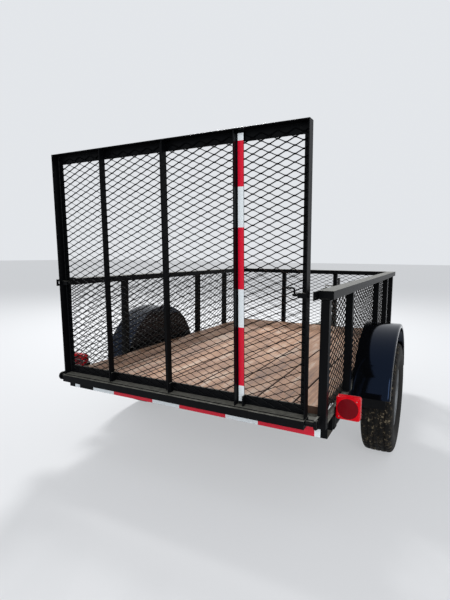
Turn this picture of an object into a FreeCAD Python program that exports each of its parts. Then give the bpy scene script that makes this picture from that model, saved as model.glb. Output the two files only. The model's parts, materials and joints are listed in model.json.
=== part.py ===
"""Single-axle utility trailer with mesh sides, plank deck and a full-width ramp gate.

Millimetres, +X right, +Y towards the towing vehicle, +Z up, ground at Z = 0.
Lengthwise places are first counted from the plane of the gate's mesh, then the whole
trailer is moved so that the origin is under the middle of its outer box.
"""
import math
import os

import FreeCAD
import Part

V = FreeCAD.Vector

# Bed
BED_LENGTH = 2438.0
BED_HALF_WIDTH = 805.0
FRAME_DEPTH = 76.0
TUBE_WIDTH = 38.0
TUBE_WALL = 3.0
CROSS_FLANGE = 50.0
REAR_CROSS_DEPTH = 102.0
CROSS_THICKNESS = 5.0
CROSS_COUNT = 4
PLANK_THICKNESS = 38.0
PLANK_WIDTH = 184.0
EDGE_PLANK_WIDTH = 140.0
PLANK_GAP = 3.0
PLANK_SEAT = 25.0
DECK_SIDE_GAP = 8.0

# Posts and rails
POST_SIZE = 38.0
RAIL_WIDTH = 70.0
RAIL_DEPTH = 38.0
RAIL_RISE = 596.0
CORNER_POST_LIFT = 55.0
POST_BEHIND_AXLE = 482.0
POST_AHEAD_OF_AXLE = 519.0
FRONT_BAY = 406.0

# Expanded metal: long way, short way and metal sizes of one diamond
MESH_LONG_WAY = 76.0
MESH_SHORT_WAY = 34.0
STRAND_WIDTH = 4.0
STRAND_THICKNESS = 3.1
MESH_EDGE = 6.0

# Ramp gate
GATE_SIDE_GAP = 39.0
GATE_HEIGHT = 1252.0
GATE_LEAN = 2.0
ANGLE_LEG = 50.0
ANGLE_THICKNESS = 4.8
UPRIGHT_PLACES = (-378.0, 13.0, 387.0)
UPRIGHT_LEG = 38.0
HINGE_TUBE_DEPTH = 70.0
HINGE_TUBE_HEIGHT = 38.0
HINGE_TUBE_SPARE = 2.0
HINGE_BACK = 26.0
HINGE_DROP = 22.0
HINGE_TUBE_WALL = 4.0
HINGE_TUBE_END = 12.0
DRAIN_SLOT = 10.0
HINGE_PIN_DIAMETER = 25.0
EAR_THICKNESS = 10.0
EAR_HEIGHT = 46.0
POST_REAR_FACE = 20.0
PIN_FIT = 0.05
FOOT_PLATE_DEPTH = 30.0
FOOT_PLATE_HEIGHT = 50.0
FOOT_PLATE_THICKNESS = 6.0
LATCH_PIN_DIAMETER = 12.0
LATCH_PIN_LENGTH = 64.0
LATCH_BACK = 20.0
LATCH_BARREL = 22.0
LATCH_BARREL_LENGTH = 40.0
KEEPER_THICKNESS = 6.0
KEEPER_SET_IN = 2.0
KEEPER_SLOT = 14.0

# Wheels, axle and springs
TYRE_DIAMETER = 688.0
TYRE_WIDTH = 188.0
TREAD_WIDTH = 152.0
RIM_DIAMETER = 381.0
RIM_WIDTH = 140.0
RIM_WALL = 5.0
FLANGE_RISE = 11.0
DISC_SET_IN = 12.0
WINDOW_COUNT = 8
WINDOW_INNER = 92.0
WINDOW_OUTER = 148.0
WINDOW_WIDTH = 46.0
BEAD_GAP = 0.3
SIDEWALL_RISE = 0.52
TYRE_GAP = 10.5
AXLE_PLACE = 1041.0
AXLE_DIAMETER = 60.0
SPINDLE_DIAMETER = 35.0
HUB_DIAMETER = 78.0
HUB_FLANGE_DIAMETER = 144.0
HUB_FLANGE_THICKNESS = 10.0
HUB_INNER_DIAMETER = 60.0
HUB_LENGTH = 96.0
HUB_CAP = 14.0
RUNNING_GAP = 2.0
SPRING_WIDTH = 45.0
SPRING_HALF_SPAN = 320.0
SPRING_SAG = 42.0
LEAF_THICKNESS = 8.0
LEAF_HALF_LENGTHS = (320.0, 220.0, 120.0)
EYE_DIAMETER = 34.0
EYE_BOLT_HEAD = 22.0
EYE_BOLT_HEIGHT = 9.0
HANGER_PLATE = 5.0
HANGER_LENGTH = 60.0
HANGER_DROP = 63.0

# Fenders and tail lamps
FENDER_RADIUS = 455.0
FENDER_WIDTH = 205.0
FENDER_CENTRE_RISE = 12.0
FENDER_SHEET = 2.5
FENDER_LIP = 26.0
FENDER_LIFT = 37.0
FENDER_SPARE = 2.0
BRACKET_HEIGHT = 50.0
BRACKET_LENGTH = 182.0
BRACKET_THICKNESS = 5.0
LAMP_SIZE = 116.0
LAMP_DEPTH = 50.0
LAMP_LIFT = 53.0
LAMP_PLACE = 178.0
LAMP_PLATE_THICKNESS = 4.0

# Tongue, coupler and jack
TONGUE_REACH = 1070.0
BEAM_END_GAP = 300.0
BEAM_WIDTH = 51.0
BEAM_DEPTH = 76.0
BEAM_WALL = 4.0
COUPLER_NECK = 150.0
COUPLER_PLATE = 6.0
COUPLER_WING_LENGTH = 160.0
NECK_WIDTH = 78.0
NECK_HEIGHT = 44.0
NECK_WALL = 5.0
BALL_SOCKET_RADIUS = 25.7
SOCKET_WALL = 7.0
SOCKET_SKIRT = 24.0
LATCH_LEVER_LENGTH = 100.0
LATCH_LEVER_HEIGHT = 22.0
JACK_BACK = 386.0
JACK_TUBE_DIAMETER = 57.0
JACK_LEG_DIAMETER = 48.0
JACK_LEG_FIT = 0.05
JACK_TUBE_DROP = 115.0
JACK_TUBE_LENGTH = 550.0
JACK_TRAVEL = 250.0
JACK_TOP_SPACE = 12.0
JACK_CAP = 30.0
JACK_CAP_RIM = 5.0
JACK_PLATE = 8.0
JACK_PLATE_HALF = 58.0
FOOT_SIZE = 130.0
FOOT_THICKNESS = 6.0
CRANK_ARM = 150.0
CRANK_ROD = 12.0
CRANK_RISE = 30.0
CRANK_GRIP_DIAMETER = 26.0
CRANK_GRIP_LENGTH = 90.0

# Places worked out from the sizes
AXLE_HEIGHT = TYRE_DIAMETER / 2
SPRING_TOP = AXLE_HEIGHT - AXLE_DIAMETER / 2
SPRING_RADIUS = (SPRING_HALF_SPAN ** 2 + SPRING_SAG ** 2) / (2 * SPRING_SAG)
EYE_HEIGHT = SPRING_TOP - LEAF_THICKNESS / 2 + SPRING_SAG
FRAME_BOTTOM = EYE_HEIGHT + HANGER_DROP
FRAME_TOP = FRAME_BOTTOM + FRAME_DEPTH
DECK_TOP = FRAME_TOP + PLANK_THICKNESS
BED_REAR = POST_REAR_FACE + POST_SIZE
BED_FRONT = BED_REAR + BED_LENGTH
SIDE_POST_PLACES = (
    AXLE_PLACE - POST_BEHIND_AXLE, AXLE_PLACE + POST_AHEAD_OF_AXLE, BED_FRONT - FRONT_BAY,
)
POST_INNER = BED_HALF_WIDTH - POST_SIZE
POST_CENTRE = BED_HALF_WIDTH - POST_SIZE / 2
FRONT_POST_HALF_SPACING = BED_HALF_WIDTH / 3
DECK_HALF_WIDTH = POST_INNER - DECK_SIDE_GAP
PLANK_REAR = BED_REAR + REAR_CROSS_DEPTH - PLANK_SEAT
GATE_HALF_WIDTH = POST_INNER - GATE_SIDE_GAP
MESH_THICKNESS = 2 * STRAND_THICKNESS
FRONT_MESH_REAR = BED_FRONT - POST_SIZE - MESH_THICKNESS
RAIL_TOP = FRAME_TOP + RAIL_RISE
RAIL_BOTTOM = RAIL_TOP - RAIL_DEPTH
RAIL_INNER = POST_CENTRE - RAIL_WIDTH / 2
LATCH_HEIGHT = RAIL_TOP - RAIL_DEPTH / 2
RAIL_FRONT = BED_FRONT - POST_SIZE / 2 + RAIL_WIDTH / 2
HINGE_Y = -HINGE_BACK
HINGE_Z = DECK_TOP - HINGE_DROP
GATE_BOTTOM = HINGE_Z + HINGE_TUBE_HEIGHT / 2
LEAN_COS = math.cos(math.radians(GATE_LEAN))
LEAN_SIN = math.sin(math.radians(GATE_LEAN))
LATCH_AHEAD = HINGE_BACK - LATCH_BACK
LATCH_RISE = LATCH_HEIGHT - HINGE_Z
KEEPER_Y = HINGE_Y + LATCH_AHEAD * LEAN_COS - LATCH_RISE * LEAN_SIN
KEEPER_Z = HINGE_Z + LATCH_AHEAD * LEAN_SIN + LATCH_RISE * LEAN_COS
TIP_BACK = ANGLE_LEG - ANGLE_THICKNESS - HINGE_BACK
TIP_RISE = HINGE_TUBE_HEIGHT / 2 + GATE_HEIGHT
GATE_REAR = HINGE_Y - TIP_BACK * LEAN_COS - TIP_RISE * LEAN_SIN
EAR_OUTER = POST_INNER + EAR_THICKNESS
HINGE_TUBE_HALF = GATE_HALF_WIDTH + HINGE_TUBE_SPARE
HANGER_SIDE = POST_CENTRE + SPRING_WIDTH / 2 + HANGER_PLATE + EYE_BOLT_HEIGHT
WHEEL_CENTRE_X = HANGER_SIDE + TYRE_GAP + TYRE_WIDTH / 2
DISC_FACE = WHEEL_CENTRE_X + DISC_SET_IN + RIM_WALL
HUB_END = DISC_FACE + HUB_CAP
HUB_START = HUB_END - HUB_LENGTH
FENDER_CENTRE = AXLE_HEIGHT + FENDER_CENTRE_RISE
FENDER_BOTTOM = FRAME_BOTTOM + FENDER_LIFT
LAMP_BOTTOM = FRAME_BOTTOM + LAMP_LIFT
BALL_PLACE = BED_FRONT + TONGUE_REACH
APEX_PLACE = BALL_PLACE - COUPLER_NECK
BEAM_END = AXLE_PLACE + SPRING_HALF_SPAN + HANGER_LENGTH / 2 + BEAM_END_GAP
BEAM_SLANT = math.atan(BED_HALF_WIDTH / (APEX_PLACE - BEAM_END))
BEAM_TOP = FRAME_BOTTOM
JACK_TUBE_BOTTOM = BEAM_TOP - JACK_TUBE_DROP
JACK_PLACE = BALL_PLACE - JACK_BACK
SOCKET_HEIGHT = BEAM_TOP + SOCKET_SKIRT
COUPLER_FRONT = BALL_PLACE + BALL_SOCKET_RADIUS + SOCKET_WALL
MIDDLE_PLACE = (COUPLER_FRONT + GATE_REAR) / 2


def block(x0, x1, y0, y1, z0, z1):
    """Box between two corners."""
    return Part.makeBox(x1 - x0, y1 - y0, z1 - z0, V(x0, y0, z0))


def mirrored(shape):
    """The same piece on the other side of the trailer."""
    return shape.mirror(V(0, 0, 0), V(1, 0, 0))


def both(shape):
    """A piece and its mirror image as two solids."""
    return [shape, mirrored(shape)]


def rod(radius, start, end):
    """Round bar from one point to another."""
    along = end - start
    return Part.makeCylinder(radius, along.Length, start, along)


def prism(points, height):
    """Flat outline given by its corners, raised along height."""
    return Part.Face(Part.makePolygon(points + points[:1])).extrude(height)


def turned(points, centre_y, centre_z, degrees=360.0):
    """Profile of (x, radius) points turned about the wheel's axis."""
    corners = [V(x, centre_y, centre_z + r) for x, r in points]
    face = Part.Face(Part.makePolygon(corners + corners[:1]))
    return face.revolve(V(0, centre_y, centre_z), V(1, 0, 0), degrees)


def leaned(shape):
    """A piece of the gate, drawn upright, turned rearward about the hinge as it stands shut."""
    return shape.rotate(V(0, HINGE_Y, HINGE_Z), V(1, 0, 0), GATE_LEAN)


def hexagon(x, y, z, across, height):
    """Bolt head or nut, its axis along X."""
    r = across / math.sqrt(3)
    turns = [math.pi * n / 3 for n in range(6)]
    return prism([V(x, y + r * math.cos(a), z + r * math.sin(a)) for a in turns], V(height, 0, 0))


def fused(shapes):
    """Several solids joined into one."""
    joined = shapes[0].fuse(shapes[1:]) if len(shapes) > 1 else shapes[0]
    return joined.removeSplitter()


# Expanded metal


def strands(width, height, rising):
    """One set of parallel strands of a mesh panel, with its sheared edge.

    The panel lies in the XZ plane, from the origin to (width, height), one strand thick
    in Y. Strands climb by one short way for each long way, to the right when rising.
    """
    slope = MESH_SHORT_WAY / MESH_LONG_WAY
    reach = height / slope
    panel = block(0, width, 0, STRAND_THICKNESS, 0, height)
    inner = block(
        MESH_EDGE, width - MESH_EDGE, 0, STRAND_THICKNESS, MESH_EDGE, height - MESH_EDGE
    )
    edge = panel.cut(inner)
    bars = []
    count = int((width + reach) / MESH_LONG_WAY)
    for n in range(1, count + 1):
        foot = n * MESH_LONG_WAY - reach
        low = max(foot, 0.0)
        high = min(foot + reach, width)
        if high - low < MESH_LONG_WAY:
            continue
        ends = [(low, (low - foot) * slope), (high, (high - foot) * slope)]
        inset = MESH_EDGE / 4
        ends[0] = (ends[0][0] + inset, ends[0][1] + inset * slope)
        ends[1] = (ends[1][0] - inset, ends[1][1] - inset * slope)
        if not rising:
            ends = [(width - x, z) for x, z in reversed(ends)]
        (xa, za), (xb, zb) = ends
        run = V(xb - xa, 0, zb - za)
        run.normalize()
        side = V(-run.z, 0, run.x) * (STRAND_WIDTH / 2)
        a, b = V(xa, 0, za), V(xb, 0, zb)
        corners = [a - side, b - side, b + side, a + side]
        bar = prism(corners, V(0, STRAND_THICKNESS, 0)).common(panel)
        bars.append(bar)
    return edge.fuse(bars).removeSplitter()


def mesh_pair(width, height):
    """Both sets of strands, the falling ones one strand thickness further along Y."""
    rising = strands(width, height, True)
    falling = strands(width, height, False)
    falling.translate(V(0, STRAND_THICKNESS, 0))
    return rising, falling


def side_mesh():
    """Right-hand panel on the inner faces of the posts."""
    start, end = BED_REAR, FRONT_MESH_REAR
    pair = mesh_pair(end - start, RAIL_BOTTOM - FRAME_TOP)
    for layer in pair:
        layer.rotate(V(0, 0, 0), V(0, 0, 1), 90)
        layer.translate(V(POST_INNER, start, FRAME_TOP))
    return pair


def front_mesh():
    """Panel on the rear faces of the front posts."""
    pair = mesh_pair(2 * POST_INNER, RAIL_BOTTOM - FRAME_TOP)
    for layer in pair:
        layer.translate(V(-POST_INNER, FRONT_MESH_REAR, FRAME_TOP))
    return pair


def gate_mesh():
    """Panel between the gate's side angles, behind their in-plane legs."""
    half = GATE_HALF_WIDTH - ANGLE_THICKNESS
    pair = mesh_pair(2 * half, GATE_HEIGHT - 2 * ANGLE_THICKNESS)
    for layer in pair:
        layer.translate(V(-half, -MESH_THICKNESS, GATE_BOTTOM + ANGLE_THICKNESS))
    return pair


# Bed


def tube_along_y(x0, x1, z0, z1, start, end, wall):
    """Rectangular tube, closed at its rear end and open towards the front."""
    outer = block(x0, x1, start, end, z0, z1)
    hollow = block(x0 + wall, x1 - wall, start + wall, end, z0 + wall, z1 - wall)
    return outer.cut(hollow)


def tube_along_x(half, y0, y1, z0, z1, wall):
    """Rectangular tube across the trailer, open at both ends."""
    outer = block(-half, half, y0, y1, z0, z1)
    hollow = block(-half, half, y0 + wall, y1 - wall, z0 + wall, z1 - wall)
    return outer.cut(hollow)


def tube_upright(x, y, z0, z1):
    """Square post centred on x and y, open at both ends."""
    h = POST_SIZE / 2
    w = h - TUBE_WALL
    outer = block(x - h, x + h, y - h, y + h, z0, z1)
    hollow = block(x - w, x + w, y - w, y + w, z0, z1)
    return outer.cut(hollow)


def side_frame():
    """Lengthwise member between the end crossmembers."""
    return tube_along_y(
        POST_INNER, BED_HALF_WIDTH, FRAME_BOTTOM, FRAME_TOP,
        BED_REAR + REAR_CROSS_DEPTH, BED_FRONT - TUBE_WIDTH, TUBE_WALL,
    )


def crossmembers():
    """End tubes and the angle irons between them, each flange under the planks."""
    ends = [
        tube_along_x(BED_HALF_WIDTH, y, y + depth, FRAME_BOTTOM, FRAME_TOP, TUBE_WALL)
        for y, depth in ((BED_REAR, REAR_CROSS_DEPTH), (BED_FRONT - TUBE_WIDTH, TUBE_WIDTH))
    ]
    pitch = (BED_LENGTH - TUBE_WIDTH) / (CROSS_COUNT + 1)
    inner = []
    for n in range(1, CROSS_COUNT + 1):
        y = BED_REAR + n * pitch
        web = block(-POST_INNER, POST_INNER, y, y + CROSS_THICKNESS, FRAME_BOTTOM, FRAME_TOP)
        flange = block(
            -POST_INNER, POST_INNER, y, y + CROSS_FLANGE, FRAME_TOP - CROSS_THICKNESS, FRAME_TOP
        )
        inner.append(fused([web, flange]))
    return ends + inner


def deck_boards():
    """Planks run lengthwise, laid from a narrow one on the right to a ripped one on the left."""
    boards = []
    right, width = DECK_HALF_WIDTH, EDGE_PLANK_WIDTH
    while right > -DECK_HALF_WIDTH:
        left = max(right - width, -DECK_HALF_WIDTH)
        boards.append(block(left, right, PLANK_REAR, FRONT_MESH_REAR, FRAME_TOP, DECK_TOP))
        right, width = left - PLANK_GAP, PLANK_WIDTH
    return boards


def side_posts():
    """Corner post behind the rear crossmember, posts on the frame, front corner post."""
    corner_y = POST_REAR_FACE + POST_SIZE / 2
    front_y = BED_FRONT - POST_SIZE / 2
    posts = [tube_upright(POST_CENTRE, corner_y, FRAME_BOTTOM + CORNER_POST_LIFT, RAIL_BOTTOM)]
    for y in SIDE_POST_PLACES + (front_y,):
        posts.append(tube_upright(POST_CENTRE, y, FRAME_TOP, RAIL_BOTTOM))
    return posts


def front_posts():
    """Posts between the front corners."""
    y = BED_FRONT - POST_SIZE / 2
    return [
        tube_upright(x, y, FRAME_TOP, RAIL_BOTTOM)
        for x in (-FRONT_POST_HALF_SPACING, FRONT_POST_HALF_SPACING)
    ]


def side_rail():
    """Flat-laid tube on the posts, capped at the rear, with the gate latch's keeper."""
    rail = tube_along_y(
        RAIL_INNER, RAIL_INNER + RAIL_WIDTH, RAIL_BOTTOM, RAIL_TOP,
        POST_REAR_FACE, RAIL_FRONT, TUBE_WALL,
    )
    return fused([rail, latch_keeper()])


def front_rail():
    """The same tube across the front, between the side rails."""
    rear = RAIL_FRONT - RAIL_WIDTH
    return tube_along_x(RAIL_INNER, rear, RAIL_FRONT, RAIL_BOTTOM, RAIL_TOP, TUBE_WALL)


# Ramp gate


def gate_side_angle():
    """Right-hand angle iron, one leg in the gate's plane, the other pointing rearward."""
    x1 = GATE_HALF_WIDTH
    z0, z1 = GATE_BOTTOM, GATE_BOTTOM + GATE_HEIGHT
    flat = block(x1 - ANGLE_LEG, x1, 0, ANGLE_THICKNESS, z0, z1)
    back = block(x1 - ANGLE_THICKNESS, x1, ANGLE_THICKNESS - ANGLE_LEG, 0, z0, z1)
    return fused([flat, back])


def gate_cross_angles():
    """Top and bottom angle irons between the side ones."""
    half = GATE_HALF_WIDTH - ANGLE_LEG
    inside = GATE_HALF_WIDTH - ANGLE_THICKNESS
    top = GATE_BOTTOM + GATE_HEIGHT
    pieces = []
    for edge, inward in ((GATE_BOTTOM, 1), (top, -1)):
        z_leg = sorted((edge, edge + inward * ANGLE_LEG))
        z_lip = sorted((edge, edge + inward * ANGLE_THICKNESS))
        flat = block(-half, half, 0, ANGLE_THICKNESS, *z_leg)
        lip = block(-inside, inside, ANGLE_THICKNESS - ANGLE_LEG, 0, *z_lip)
        pieces.append(fused([flat, lip]))
    return pieces


def gate_uprights():
    """Three angle irons behind the mesh, each with a small plate beside its foot."""
    z0 = GATE_BOTTOM + ANGLE_THICKNESS
    z1 = GATE_BOTTOM + GATE_HEIGHT - ANGLE_THICKNESS
    y1 = -MESH_THICKNESS
    pieces = []
    for x, hand in zip(UPRIGHT_PLACES, (-1, -1, 1)):
        xs = sorted((x, x + hand * UPRIGHT_LEG))
        xt = sorted((x, x + hand * ANGLE_THICKNESS))
        flat = block(xs[0], xs[1], y1 - ANGLE_THICKNESS, y1, z0, z1)
        back = block(xt[0], xt[1], y1 - UPRIGHT_LEG, y1, z0, z1)
        left = x if hand < 0 else x + UPRIGHT_LEG
        foot = block(
            left, left + FOOT_PLATE_THICKNESS, y1 - FOOT_PLATE_DEPTH, y1, z0, z0 + FOOT_PLATE_HEIGHT
        )
        pieces.append(fused([flat, back, foot]))
    return pieces


def gate_hinge_tube():
    """Tube that the gate stands on, with a round pin at each end."""
    y0 = HINGE_Y - HINGE_TUBE_DEPTH / 2
    y1 = HINGE_Y + HINGE_TUBE_DEPTH / 2
    z0 = HINGE_Z - HINGE_TUBE_HEIGHT / 2
    t, end = HINGE_TUBE_WALL, HINGE_TUBE_HALF - HINGE_TUBE_END
    body = block(-HINGE_TUBE_HALF, HINGE_TUBE_HALF, y0, y1, z0, GATE_BOTTOM)
    hollow = block(-end, end, y0 + t, y1 - t, z0 + t, GATE_BOTTOM - t)
    slot = DRAIN_SLOT / 2
    drain = block(-slot, slot, HINGE_Y - slot, HINGE_Y + slot, z0, HINGE_Z)
    pin = rod(HINGE_PIN_DIAMETER / 2, V(end, HINGE_Y, HINGE_Z), V(EAR_OUTER, HINGE_Y, HINGE_Z))
    return fused([body.cut(hollow).cut(drain)] + both(pin))


def gate_latch_pin():
    """Right-hand latch: square barrel on the side angle's rearward leg, pin drawn back."""
    x1 = GATE_HALF_WIDTH - ANGLE_THICKNESS
    h = LATCH_BARREL / 2
    y, z = -LATCH_BACK, LATCH_HEIGHT
    barrel = block(x1 - LATCH_BARREL_LENGTH, x1, y - h, y + h, z - h, z + h)
    pin = rod(LATCH_PIN_DIAMETER / 2, V(x1 - LATCH_PIN_LENGTH, y, z), V(x1 - h, y, z))
    return fused([barrel, pin])


def latch_keeper():
    """Right-hand keeper: plate on the rail's rear end, slotted for the pin."""
    x0 = RAIL_INNER + KEEPER_SET_IN
    x1 = x0 + KEEPER_THICKNESS
    h = KEEPER_SLOT / 2
    y, z = KEEPER_Y, KEEPER_Z
    plate = block(x0, x1, y - RAIL_DEPTH / 2, POST_REAR_FACE, RAIL_BOTTOM, RAIL_TOP)
    return plate.cut(block(x0, x1, y - h, y + h, z - h, z + h))


def hinge_ear():
    """Right-hand ear on the corner post, with the hinge pin's hole."""
    h = EAR_HEIGHT / 2
    inner, outer = V(POST_INNER, HINGE_Y, HINGE_Z), V(EAR_OUTER, HINGE_Y, HINGE_Z)
    plate = block(POST_INNER, EAR_OUTER, HINGE_Y, POST_REAR_FACE, HINGE_Z - h, HINGE_Z + h)
    hole = rod(HINGE_PIN_DIAMETER / 2 + PIN_FIT, inner, outer)
    return fused([plate, rod(h, inner, outer)]).cut(hole)


# Running gear, right-hand side and mirrored


def tyre():
    """Tyre as one ring: (distance from its middle, radius) from bead to tread, mirrored.

    Its sidewall passes the tip of the rim's flange with a small gap.
    """
    r_out = TYRE_DIAMETER / 2
    r_bead = RIM_DIAMETER / 2
    r_wide = r_bead + (r_out - r_bead) * SIDEWALL_RISE
    r_tip = r_bead + FLANGE_RISE
    x_tip = RIM_WIDTH / 2 - RIM_WALL - BEAD_GAP
    spread = (TYRE_WIDTH / 2 - x_tip) / (r_wide - r_tip)
    side = [
        (x_tip - spread * FLANGE_RISE, r_bead),
        (TYRE_WIDTH / 2, r_wide),
        (TREAD_WIDTH / 2, r_out),
    ]
    outline = [(WHEEL_CENTRE_X + x, r) for x, r in side]
    outline += [(WHEEL_CENTRE_X - x, r) for x, r in reversed(side)]
    return turned(outline, AXLE_PLACE, AXLE_HEIGHT)


def rim():
    """Steel wheel: barrel with its flanges, and a windowed disc set in from its outer end."""
    c = WHEEL_CENTRE_X
    half = RIM_WIDTH / 2
    seat = RIM_DIAMETER / 2
    inside = seat - RIM_WALL
    toe = half - RIM_WALL
    lip = seat + FLANGE_RISE
    barrel = [
        (c - half, inside), (c - half, lip), (c - toe, lip), (c - toe, seat),
        (c + toe, seat), (c + toe, lip), (c + half, lip), (c + half, inside),
        (DISC_FACE, inside), (DISC_FACE, HUB_DIAMETER / 2),
        (DISC_FACE - RIM_WALL, HUB_DIAMETER / 2), (DISC_FACE - RIM_WALL, inside),
    ]
    wheel = turned(barrel, AXLE_PLACE, AXLE_HEIGHT)
    w = WINDOW_WIDTH / 2
    window = block(
        DISC_FACE - RIM_WALL, DISC_FACE, AXLE_PLACE - w, AXLE_PLACE + w,
        AXLE_HEIGHT + WINDOW_INNER, AXLE_HEIGHT + WINDOW_OUTER,
    )
    for n in range(WINDOW_COUNT):
        turn = window.copy()
        turn.rotate(V(0, AXLE_PLACE, AXLE_HEIGHT), V(1, 0, 0), 360 * n / WINDOW_COUNT)
        wheel = wheel.cut(turn)
    return wheel


def hub():
    """Hub whose flange carries the disc, bored for the spindle and closed by its cap."""
    bore = SPINDLE_DIAMETER / 2 + PIN_FIT
    back = DISC_FACE - RIM_WALL
    flange = back - HUB_FLANGE_THICKNESS
    outline = [
        (HUB_START, bore), (HUB_START, HUB_INNER_DIAMETER / 2),
        (flange, HUB_INNER_DIAMETER / 2), (flange, HUB_FLANGE_DIAMETER / 2),
        (back, HUB_FLANGE_DIAMETER / 2), (back, HUB_DIAMETER / 2),
        (HUB_END, HUB_DIAMETER / 2), (HUB_END, 0),
        (HUB_END - HUB_CAP, 0), (HUB_END - HUB_CAP, bore),
    ]
    return turned(outline, AXLE_PLACE, AXLE_HEIGHT)


def axle():
    """Axle tube with a spindle at each end and a seat for each spring."""
    reach = HUB_START - RUNNING_GAP
    end = HUB_END - HUB_CAP - RUNNING_GAP
    tube = rod(AXLE_DIAMETER / 2, V(-reach, AXLE_PLACE, AXLE_HEIGHT), V(reach, AXLE_PLACE, AXLE_HEIGHT))
    spindle = rod(
        SPINDLE_DIAMETER / 2, V(-end, AXLE_PLACE, AXLE_HEIGHT), V(end, AXLE_PLACE, AXLE_HEIGHT)
    )
    x0, x1 = POST_CENTRE - SPRING_WIDTH / 2, POST_CENTRE + SPRING_WIDTH / 2
    y0, y1 = AXLE_PLACE - AXLE_DIAMETER / 2, AXLE_PLACE + AXLE_DIAMETER / 2
    foot = SPRING_TOP + leaf_rise(AXLE_DIAMETER / 2)
    seat = block(x0, x1, y0, y1, foot, AXLE_HEIGHT)
    return fused([tube, spindle] + both(seat))


def leaf_rise(away):
    """How far a leaf has curved up at a distance from the axle."""
    return SPRING_RADIUS - math.sqrt(SPRING_RADIUS ** 2 - away ** 2)


def leaf_spring():
    """Three leaves hung under the axle, the longest one ending in eyes."""
    x0, x1 = POST_CENTRE - SPRING_WIDTH / 2, POST_CENTRE + SPRING_WIDTH / 2
    leaves = []
    for n, half in enumerate(LEAF_HALF_LENGTHS):
        z = SPRING_TOP - n * LEAF_THICKNESS
        rise = leaf_rise(half)
        arcs = []
        for drop in (0.0, LEAF_THICKNESS):
            ends = [V(x0, AXLE_PLACE + s * half, z - drop + rise) for s in (-1, 1)]
            arcs.append((ends[0], V(x0, AXLE_PLACE, z - drop), ends[1]))
        (a, b, c), (d, e, f) = arcs
        wire = Part.Wire([
            Part.Arc(a, b, c).toShape(), Part.LineSegment(c, f).toShape(),
            Part.Arc(f, e, d).toShape(), Part.LineSegment(d, a).toShape(),
        ])
        leaves.append(Part.Face(wire).extrude(V(x1 - x0, 0, 0)))
    for s in (-1, 1):
        y = AXLE_PLACE + s * SPRING_HALF_SPAN
        leaves.append(rod(EYE_DIAMETER / 2, V(x0, y, EYE_HEIGHT), V(x1, y, EYE_HEIGHT)))
    return fused(leaves)


def spring_hangers():
    """Front and rear hanger on one side: two cheeks under the frame and the eye's bolt."""
    x0, x1 = POST_CENTRE - SPRING_WIDTH / 2, POST_CENTRE + SPRING_WIDTH / 2
    z = EYE_HEIGHT
    pieces = []
    for s in (-1, 1):
        y = AXLE_PLACE + s * SPRING_HALF_SPAN
        y0, y1 = y - HANGER_LENGTH / 2, y + HANGER_LENGTH / 2
        top = block(
            x0 - HANGER_PLATE, x1 + HANGER_PLATE, y0, y1, FRAME_BOTTOM - HANGER_PLATE, FRAME_BOTTOM
        )
        cheeks = [
            block(x, x + HANGER_PLATE, y0, y1, z - EYE_DIAMETER / 2, FRAME_BOTTOM)
            for x in (x0 - HANGER_PLATE, x1)
        ]
        heads = [
            hexagon(x, y, z, EYE_BOLT_HEAD, EYE_BOLT_HEIGHT)
            for x in (x0 - HANGER_PLATE - EYE_BOLT_HEIGHT, x1 + HANGER_PLATE)
        ]
        pieces.append(fused([top] + cheeks + heads))
    return pieces


# Fenders and lamps


def fender():
    """Round fender: rolled arc with a turned-down outer lip, and its flat inner plate."""
    cz = FENDER_CENTRE
    start = math.degrees(math.acos((FENDER_BOTTOM - cz) / FENDER_RADIUS)) + FENDER_SPARE
    x0, x1 = BED_HALF_WIDTH, BED_HALF_WIDTH + FENDER_WIDTH
    r0, r1 = FENDER_RADIUS - FENDER_SHEET, FENDER_RADIUS
    outline = [
        (x0, r1), (x0, r0), (x1 - FENDER_SHEET, r0), (x1 - FENDER_SHEET, r1 - FENDER_LIP),
        (x1, r1 - FENDER_LIP), (x1, r1),
    ]
    arc = turned(outline, AXLE_PLACE, cz, 2 * start)
    arc.rotate(V(0, AXLE_PLACE, cz), V(1, 0, 0), -start)
    disc = rod(r1, V(x0, AXLE_PLACE, cz), V(x0 + FENDER_SHEET, AXLE_PLACE, cz))
    keep = block(x0, x1, AXLE_PLACE - r1, AXLE_PLACE + r1, FENDER_BOTTOM, cz + r1)
    return fused([arc, disc]).common(keep)


def fender_brackets():
    """Plates from the frame under the two ends of the fender."""
    half = math.sqrt(FENDER_RADIUS ** 2 - (FENDER_BOTTOM - FENDER_CENTRE) ** 2)
    pieces = []
    for y in (AXLE_PLACE - half, AXLE_PLACE + half - BRACKET_THICKNESS):
        pieces.append(block(
            BED_HALF_WIDTH, BED_HALF_WIDTH + BRACKET_LENGTH, y, y + BRACKET_THICKNESS,
            FENDER_BOTTOM - BRACKET_HEIGHT, FENDER_BOTTOM,
        ))
    return pieces


def tail_lamp():
    """Right-hand lamp body, its lens facing rearward."""
    x0, y0, z0 = BED_HALF_WIDTH + LAMP_PLATE_THICKNESS, LAMP_PLACE, LAMP_BOTTOM
    return block(x0, x0 + LAMP_SIZE, y0, y0 + LAMP_DEPTH, z0, z0 + LAMP_SIZE)


def lamp_plate():
    """Right-hand angle plate that holds the lamp to the frame's side."""
    x0, y, t = BED_HALF_WIDTH, LAMP_PLACE + LAMP_DEPTH, LAMP_PLATE_THICKNESS
    top = LAMP_BOTTOM + LAMP_SIZE / 2
    side = block(x0, x0 + t, LAMP_PLACE, y, FRAME_BOTTOM, top)
    back = block(x0, x0 + LAMP_SIZE, y, y + t, LAMP_BOTTOM, top)
    return fused([side, back])


# Tongue


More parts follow.
